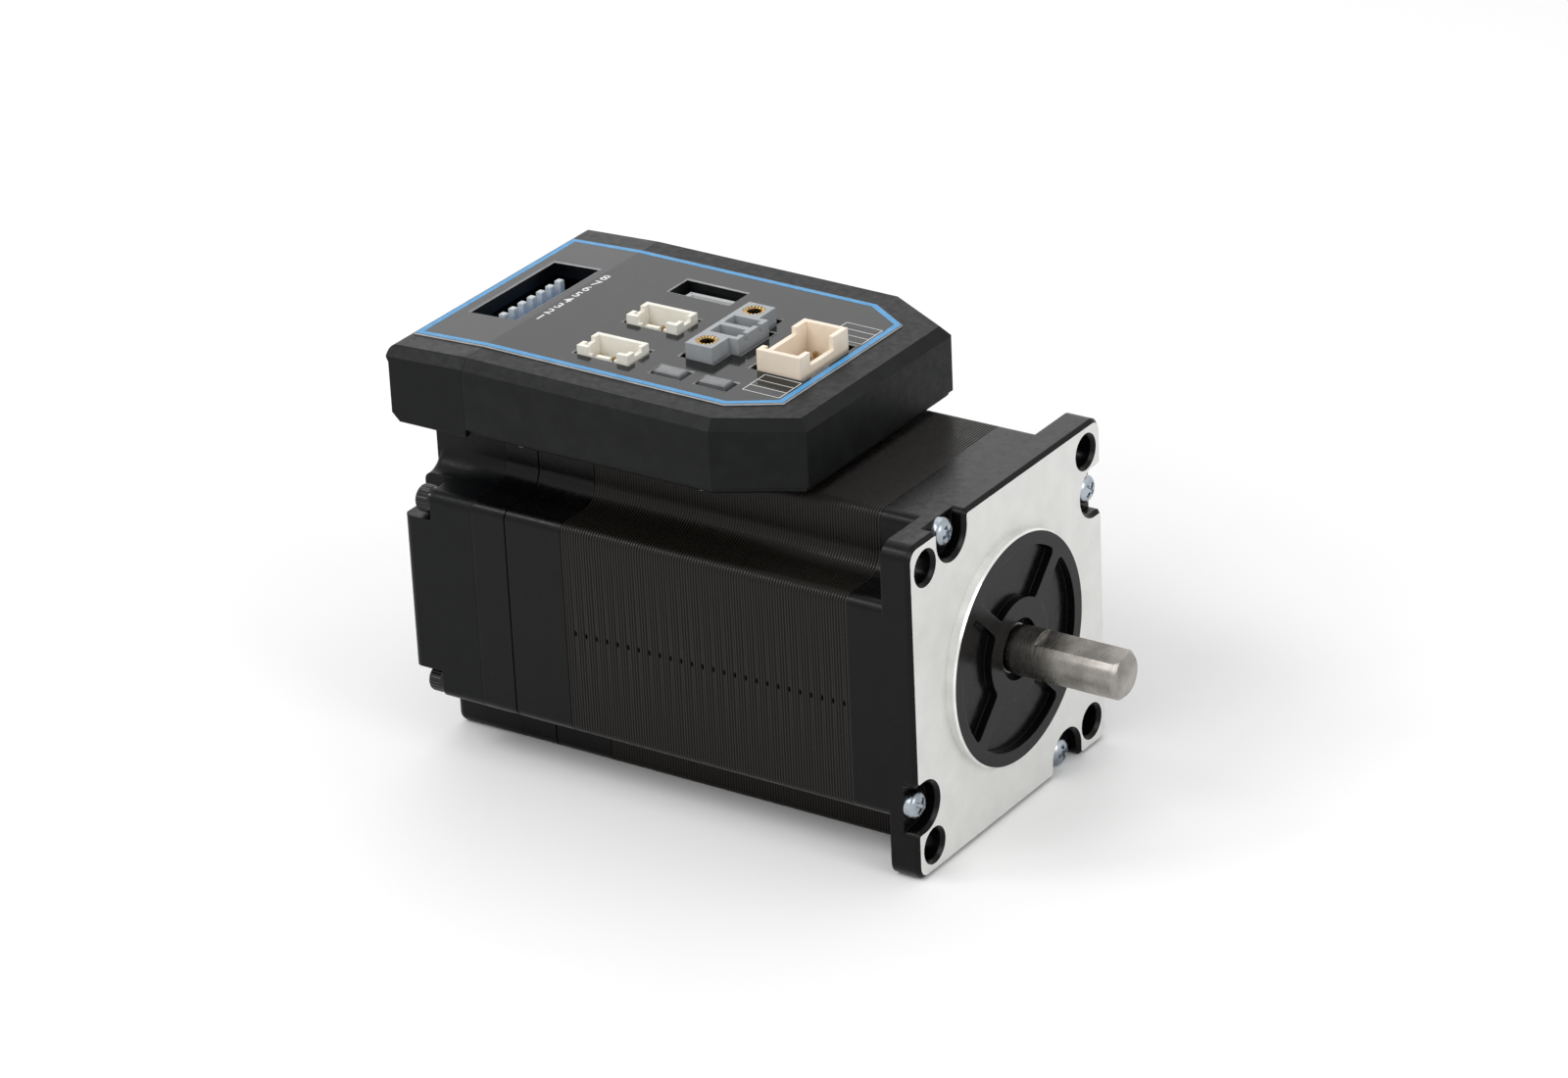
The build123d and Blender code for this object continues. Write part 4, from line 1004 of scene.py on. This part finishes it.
def ruled_box(name, low, high):
    """Printed frame in thin white lines, ruled into rows."""
    vertices = []
    faces = []
    levels = [low[1] + (high[1] - low[1]) * row / RULE_ROWS for row in range(RULE_ROWS + 1)]
    strips = [((low[0], level), (high[0], level)) for level in levels]
    strips += [((side, low[1]), (side, high[1])) for side in (low[0], high[0])]
    for start, end in strips:
        run = (Vector(end) - Vector(start)).normalized()
        across = Vector((-run.y, run.x)) * RULE_WIDTH / 2
        first = len(vertices)
        for point in (Vector(start), Vector(end)):
            for corner in (point - across, point + across):
                vertices.append(printed(corner.x, corner.y))
        faces.append((first, first + 1, first + 3, first + 2))
    make_piece(name, vertices, faces, print_white)


ruled_box("near_rule_box", NEAR_RULE_LOW, NEAR_RULE_HIGH)
ruled_box("far_rule_box", FAR_RULE_LOW, FAR_RULE_HIGH)


def numeral(number, x, y):
    """Plain printed figure that reads along +X and lies on the label."""
    text = bpy.data.curves.new(f"figure_{number}", "FONT")
    text.body = str(number)
    text.size = NUMERAL_HEIGHT / NUMERAL_SHARE
    text.align_x = "CENTER"
    text.align_y = "CENTER"
    text.resolution_u = NUMERAL_CURVE
    text.offset = NUMERAL_BOLD * text.size
    holder = bpy.data.objects.new("figure", text)
    mesh = bpy.data.meshes.new_from_object(holder)
    vertices = [printed(x + vertex.co.x, y + vertex.co.y) for vertex in mesh.vertices]
    faces = [tuple(face.vertices) for face in mesh.polygons]
    bpy.data.objects.remove(holder)
    make_piece(f"numeral_{number}", vertices, faces, print_white)


dip_middle = (dip_low.y + dip_high.y) / 2
for number in range(1, DIP_COUNT + 1):
    numeral(number, NUMERAL_X, dip_middle + (number - (DIP_COUNT + 1) / 2) * DIP_PITCH)


# Turned forms


def turned(profile, segments, radius_at=None):
    """Vertices and faces of a form turned about Z from a profile of (radius, height) points."""
    vertices = []
    faces = []
    for row, (radius, height) in enumerate(profile):
        for step in range(segments):
            angle = 2 * math.pi * step / segments
            reach = radius_at(row, radius, angle) if radius_at else radius
            vertices.append(Vector((reach * math.cos(angle), reach * math.sin(angle), height)))
    for row in range(len(profile) - 1):
        for step in range(segments):
            following = (step + 1) % segments
            low = row * segments
            faces.append((low + step, low + following, low + segments + following, low + segments + step))
    faces.append(tuple(range(segments))[::-1])
    last = (len(profile) - 1) * segments
    faces.append(tuple(last + step for step in range(segments)))
    return vertices, faces


def set_of(name, form, places, material, replaces):
    """One piece that holds an equal form at each of the places."""
    form_vertices, form_faces = form
    vertices = []
    faces = []
    for place in places:
        first = len(vertices)
        vertices += [place @ vertex for vertex in form_vertices]
        faces += [tuple(first + index for index in face) for face in form_faces]
    return make_piece(name, vertices, faces, material, replaces)


def stand(centre, axis):
    """Matrix that stands a form, drawn along +Z, at this place along this axis."""
    turn = Vector((0, 0, 1)).rotation_difference(axis).to_matrix().to_4x4()
    return Matrix.Translation(centre) @ turn


# Screws


def pan_screw(length):
    """Pan-head screw with a cross recess, its seat at Z 0 and the head above."""
    profile = [(SHANK_RADIUS, -length), (SHANK_RADIUS, 0.0), (PAN_RADIUS, 0.0), (PAN_RADIUS, PAN_RIM)]
    for row in range(1, PAN_ROWS):
        radius = PAN_RADIUS * math.cos(0.5 * math.pi * row / PAN_ROWS) ** PAN_SHOULDER
        dome = math.sqrt(max(0.0, 1 - (radius / PAN_RADIUS) ** PAN_DOME))
        profile.append((radius, PAN_RIM + (PAN_HEIGHT - PAN_RIM) * dome))
    profile.append((TIP_RADIUS, PAN_HEIGHT))
    vertices, faces = turned(profile, PAN_SEGMENTS)
    for vertex in vertices:
        across = min(abs(vertex.x), abs(vertex.y))
        reach = math.hypot(vertex.x, vertex.y)
        if vertex.z > PAN_RIM and across < CROSS_HALF and reach < CROSS_REACH:
            vertex.z -= CROSS_DEPTH * (1 - CROSS_RISE * reach / CROSS_REACH)
    return vertices, faces


def hexagon(angle):
    """Distance from the axis to the side of the hexagon socket."""
    sector = math.pi / 3
    return HEX_HALF / math.cos((angle % sector) - sector / 2)


def cap_screw(length):
    """Socket cap screw with a knurled side, its seat at Z 0 and the head above."""
    knurled = CAP_RADIUS - KNURL_DEPTH
    profile = [
        (SHANK_RADIUS, -length),
        (SHANK_RADIUS, 0.0),
        (knurled, 0.0),
        (CAP_RADIUS, CAP_EDGE),
        (CAP_RADIUS, CAP_HEIGHT - 2 * CAP_EDGE),
        (knurled, CAP_HEIGHT - CAP_EDGE),
        (knurled - CAP_EDGE, CAP_HEIGHT),
        (HEX_HALF + HEX_CHAMFER, CAP_HEIGHT),
        (HEX_HALF, CAP_HEIGHT - HEX_CHAMFER),
        (HEX_HALF, CAP_HEIGHT - HEX_DEPTH),
        (TIP_RADIUS, CAP_HEIGHT - HEX_DEPTH - HEX_CHAMFER),
    ]

    def radius_at(row, radius, angle):
        if row in KNURL_ROWS:
            return radius - KNURL_DEPTH * (0.5 + 0.5 * math.cos(KNURL_COUNT * angle))
        if row in HEX_ROWS:
            return hexagon(angle)
        return radius

    return turned(profile, CAP_SEGMENTS, radius_at)


tie_seat = tie_high.x - PAN_HEIGHT
tie_form = pan_screw(tie_seat - tie_low.x)
tie_places = []
for quarter in range(4):
    angle = quarter * math.pi / 2
    y = -SCREW_OFFSET * math.cos(angle) - SCREW_REACH * math.sin(angle)
    z = -SCREW_OFFSET * math.sin(angle) + SCREW_REACH * math.cos(angle)
    twist = Matrix.Rotation(TIE_TWIST_START + TIE_TWIST_STEP * quarter, 4, "Z")
    tie_places.append(stand(Vector((tie_seat, y, z)), Vector((1, 0, 0))) @ twist)
set_of("tie_screw_set", tie_form, tie_places, zinc_bright, ["tie_screws"])

cap_seat = cover_low.x + CAP_HEIGHT
cap_form = cap_screw(cover_high.x - cap_seat)
cap_places = []
for side in (-1, 1):
    for level in (-1, 1):
        centre = Vector((cap_seat, side * SCREW_REACH, level * SCREW_OFFSET))
        cap_places.append(stand(centre, Vector((-1, 0, 0))))
set_of("cover_screw_set", cap_form, cap_places, screw_black, ["cover_screws"])


# Threaded inserts of the power header


def insert_shape(length):
    """Brass insert with a notched rim and a dished mouth, its top at Z 0."""
    profile = [
        (INSERT_RADIUS - INSERT_EDGE, -length),
        (INSERT_RADIUS - INSERT_EDGE, -KNURL_BAND),
        (INSERT_RADIUS, -KNURL_BAND + INSERT_EDGE),
        (INSERT_RADIUS, -INSERT_EDGE),
        (INSERT_RADIUS - INSERT_EDGE, 0.0),
        (MOUTH_RADIUS, 0.0),
        (BORE_RADIUS, -MOUTH_DEPTH),
        (BORE_RADIUS, -BRIGHT_DEPTH),
        (BORE_RADIUS - INSERT_EDGE, INSERT_RADIUS - length),
        (INSERT_EDGE, INSERT_RADIUS - length),
    ]
    vertices, faces = turned(profile, INSERT_SEGMENTS)
    for index, vertex in enumerate(vertices):
        row, step = divmod(index, INSERT_SEGMENTS)
        if row in NOTCH_ROWS and step % NOTCH_EVERY < NOTCH_STEPS:
            vertex.z -= NOTCH_DEPTH
    return vertices, faces


insert_form = insert_shape(insert_high.z - insert_low.z)
insert_x = (insert_low.x + insert_high.x) / 2
insert_places = []
for insert_y in (insert_low.y + INSERT_RADIUS, insert_high.y - INSERT_RADIUS):
    insert_places.append(Matrix.Translation((insert_x, insert_y, insert_high.z)))
insert_set = set_of(
    "power_insert_set", insert_form, insert_places, brass_gold, ["power_inserts"]
)
# Painted shade: the bore below the gold wall, the bottom and the notches in the rim are black.
insert_set.data.materials.append(painted_shade_black)
for index, face in enumerate(insert_set.data.polygons):
    row, step = divmod(index % len(insert_form[1]), INSERT_SEGMENTS)
    notched = row == NOTCH_ROWS[0] and step % NOTCH_EVERY < NOTCH_STEPS - 1
    if row >= PAINTED_SHADE_ROW or notched:
        face.material_index = PAINTED_BLACK_SLOT


# Floor

floor_mesh = bpy.data.meshes.new("floor")
floor_corners = [
    (-FLOOR_HALF, -FLOOR_HALF, cad_low.z),
    (FLOOR_HALF, -FLOOR_HALF, cad_low.z),
    (FLOOR_HALF, FLOOR_HALF, cad_low.z),
    (-FLOOR_HALF, FLOOR_HALF, cad_low.z),
]
floor_mesh.from_pydata(floor_corners, [], [(0, 1, 2, 3)])
floor = bpy.data.objects.new("floor", floor_mesh)
bpy.context.scene.collection.objects.link(floor)
floor_white = new_material("floor_white", colour(250, 250, 250), 0.9, specular=0.1)
tint(floor_white, grain(floor_white, FLOOR_MOTTLE), colour(249, 249, 249), colour(252, 252, 252))
floor.data.materials.append(floor_white)

# Sky, white where it is seen and softer as a light

world = bpy.data.worlds.new("studio")
bpy.context.scene.world = world
world.use_nodes = True
sky = world.node_tree.nodes["Background"]
sky.inputs["Color"].default_value = (1, 1, 1, 1)
rays = add_node(world, "ShaderNodeLightPath")
seen = sum_of(world, rays.outputs["Is Camera Ray"], rays.outputs["Is Glossy Ray"])
seen = sum_of(world, seen, rays.outputs["Is Transmission Ray"])
strength = add_node(world, "ShaderNodeMapRange", To_Min=SKY_LIGHT, To_Max=SKY_SEEN)
join(world, seen, strength.inputs["Value"])
join(world, strength.outputs["Result"], sky.inputs["Strength"])


# Lamps


def soft_box(name, place, size, power):
    """Square area lamp that faces the middle of the motor."""
    lamp = bpy.data.lights.new(name, "AREA")
    lamp.size = size
    lamp.energy = power
    holder = bpy.data.objects.new(name, lamp)
    holder.location = place
    holder.rotation_euler = (middle - Vector(place)).to_track_quat("-Z", "Y").to_euler()
    bpy.context.scene.collection.objects.link(holder)


soft_box("key_lamp", (-0.25, -0.75, 0.75), size=0.5, power=3.0)
soft_box("side_lamp", (0.9, -0.2, 0.45), size=0.5, power=2.2)
soft_box("top_lamp", (-0.2, 0.35, 0.9), size=0.6, power=0.8)
soft_box("sheen_lamp", (-0.59, 0.74, 0.44), size=0.45, power=0.6)
soft_box("edge_lamp", (-0.58, -0.42, 0.74), size=0.24, power=1.4)

# Camera

level_right = CAMERA_FORWARD.cross(Vector((0, 0, 1))).normalized()
level_up = level_right.cross(CAMERA_FORWARD)
right = level_right * math.cos(CAMERA_ROLL) + level_up * math.sin(CAMERA_ROLL)
up = level_up * math.cos(CAMERA_ROLL) - level_right * math.sin(CAMERA_ROLL)
camera_data = bpy.data.cameras.new("camera")
camera_data.lens = CAMERA_LENS
camera_data.sensor_width = CAMERA_SENSOR
camera_data.clip_start = CAMERA_NEAR
camera_data.clip_end = CAMERA_FAR
camera = bpy.data.objects.new("camera", camera_data)
turn = Matrix((right, up, -CAMERA_FORWARD)).transposed().to_4x4()
camera.matrix_world = Matrix.Translation(CAMERA_PLACE) @ turn
bpy.context.scene.collection.objects.link(camera)
bpy.context.scene.camera = camera
bpy.context.scene.view_settings.view_transform = "Standard"
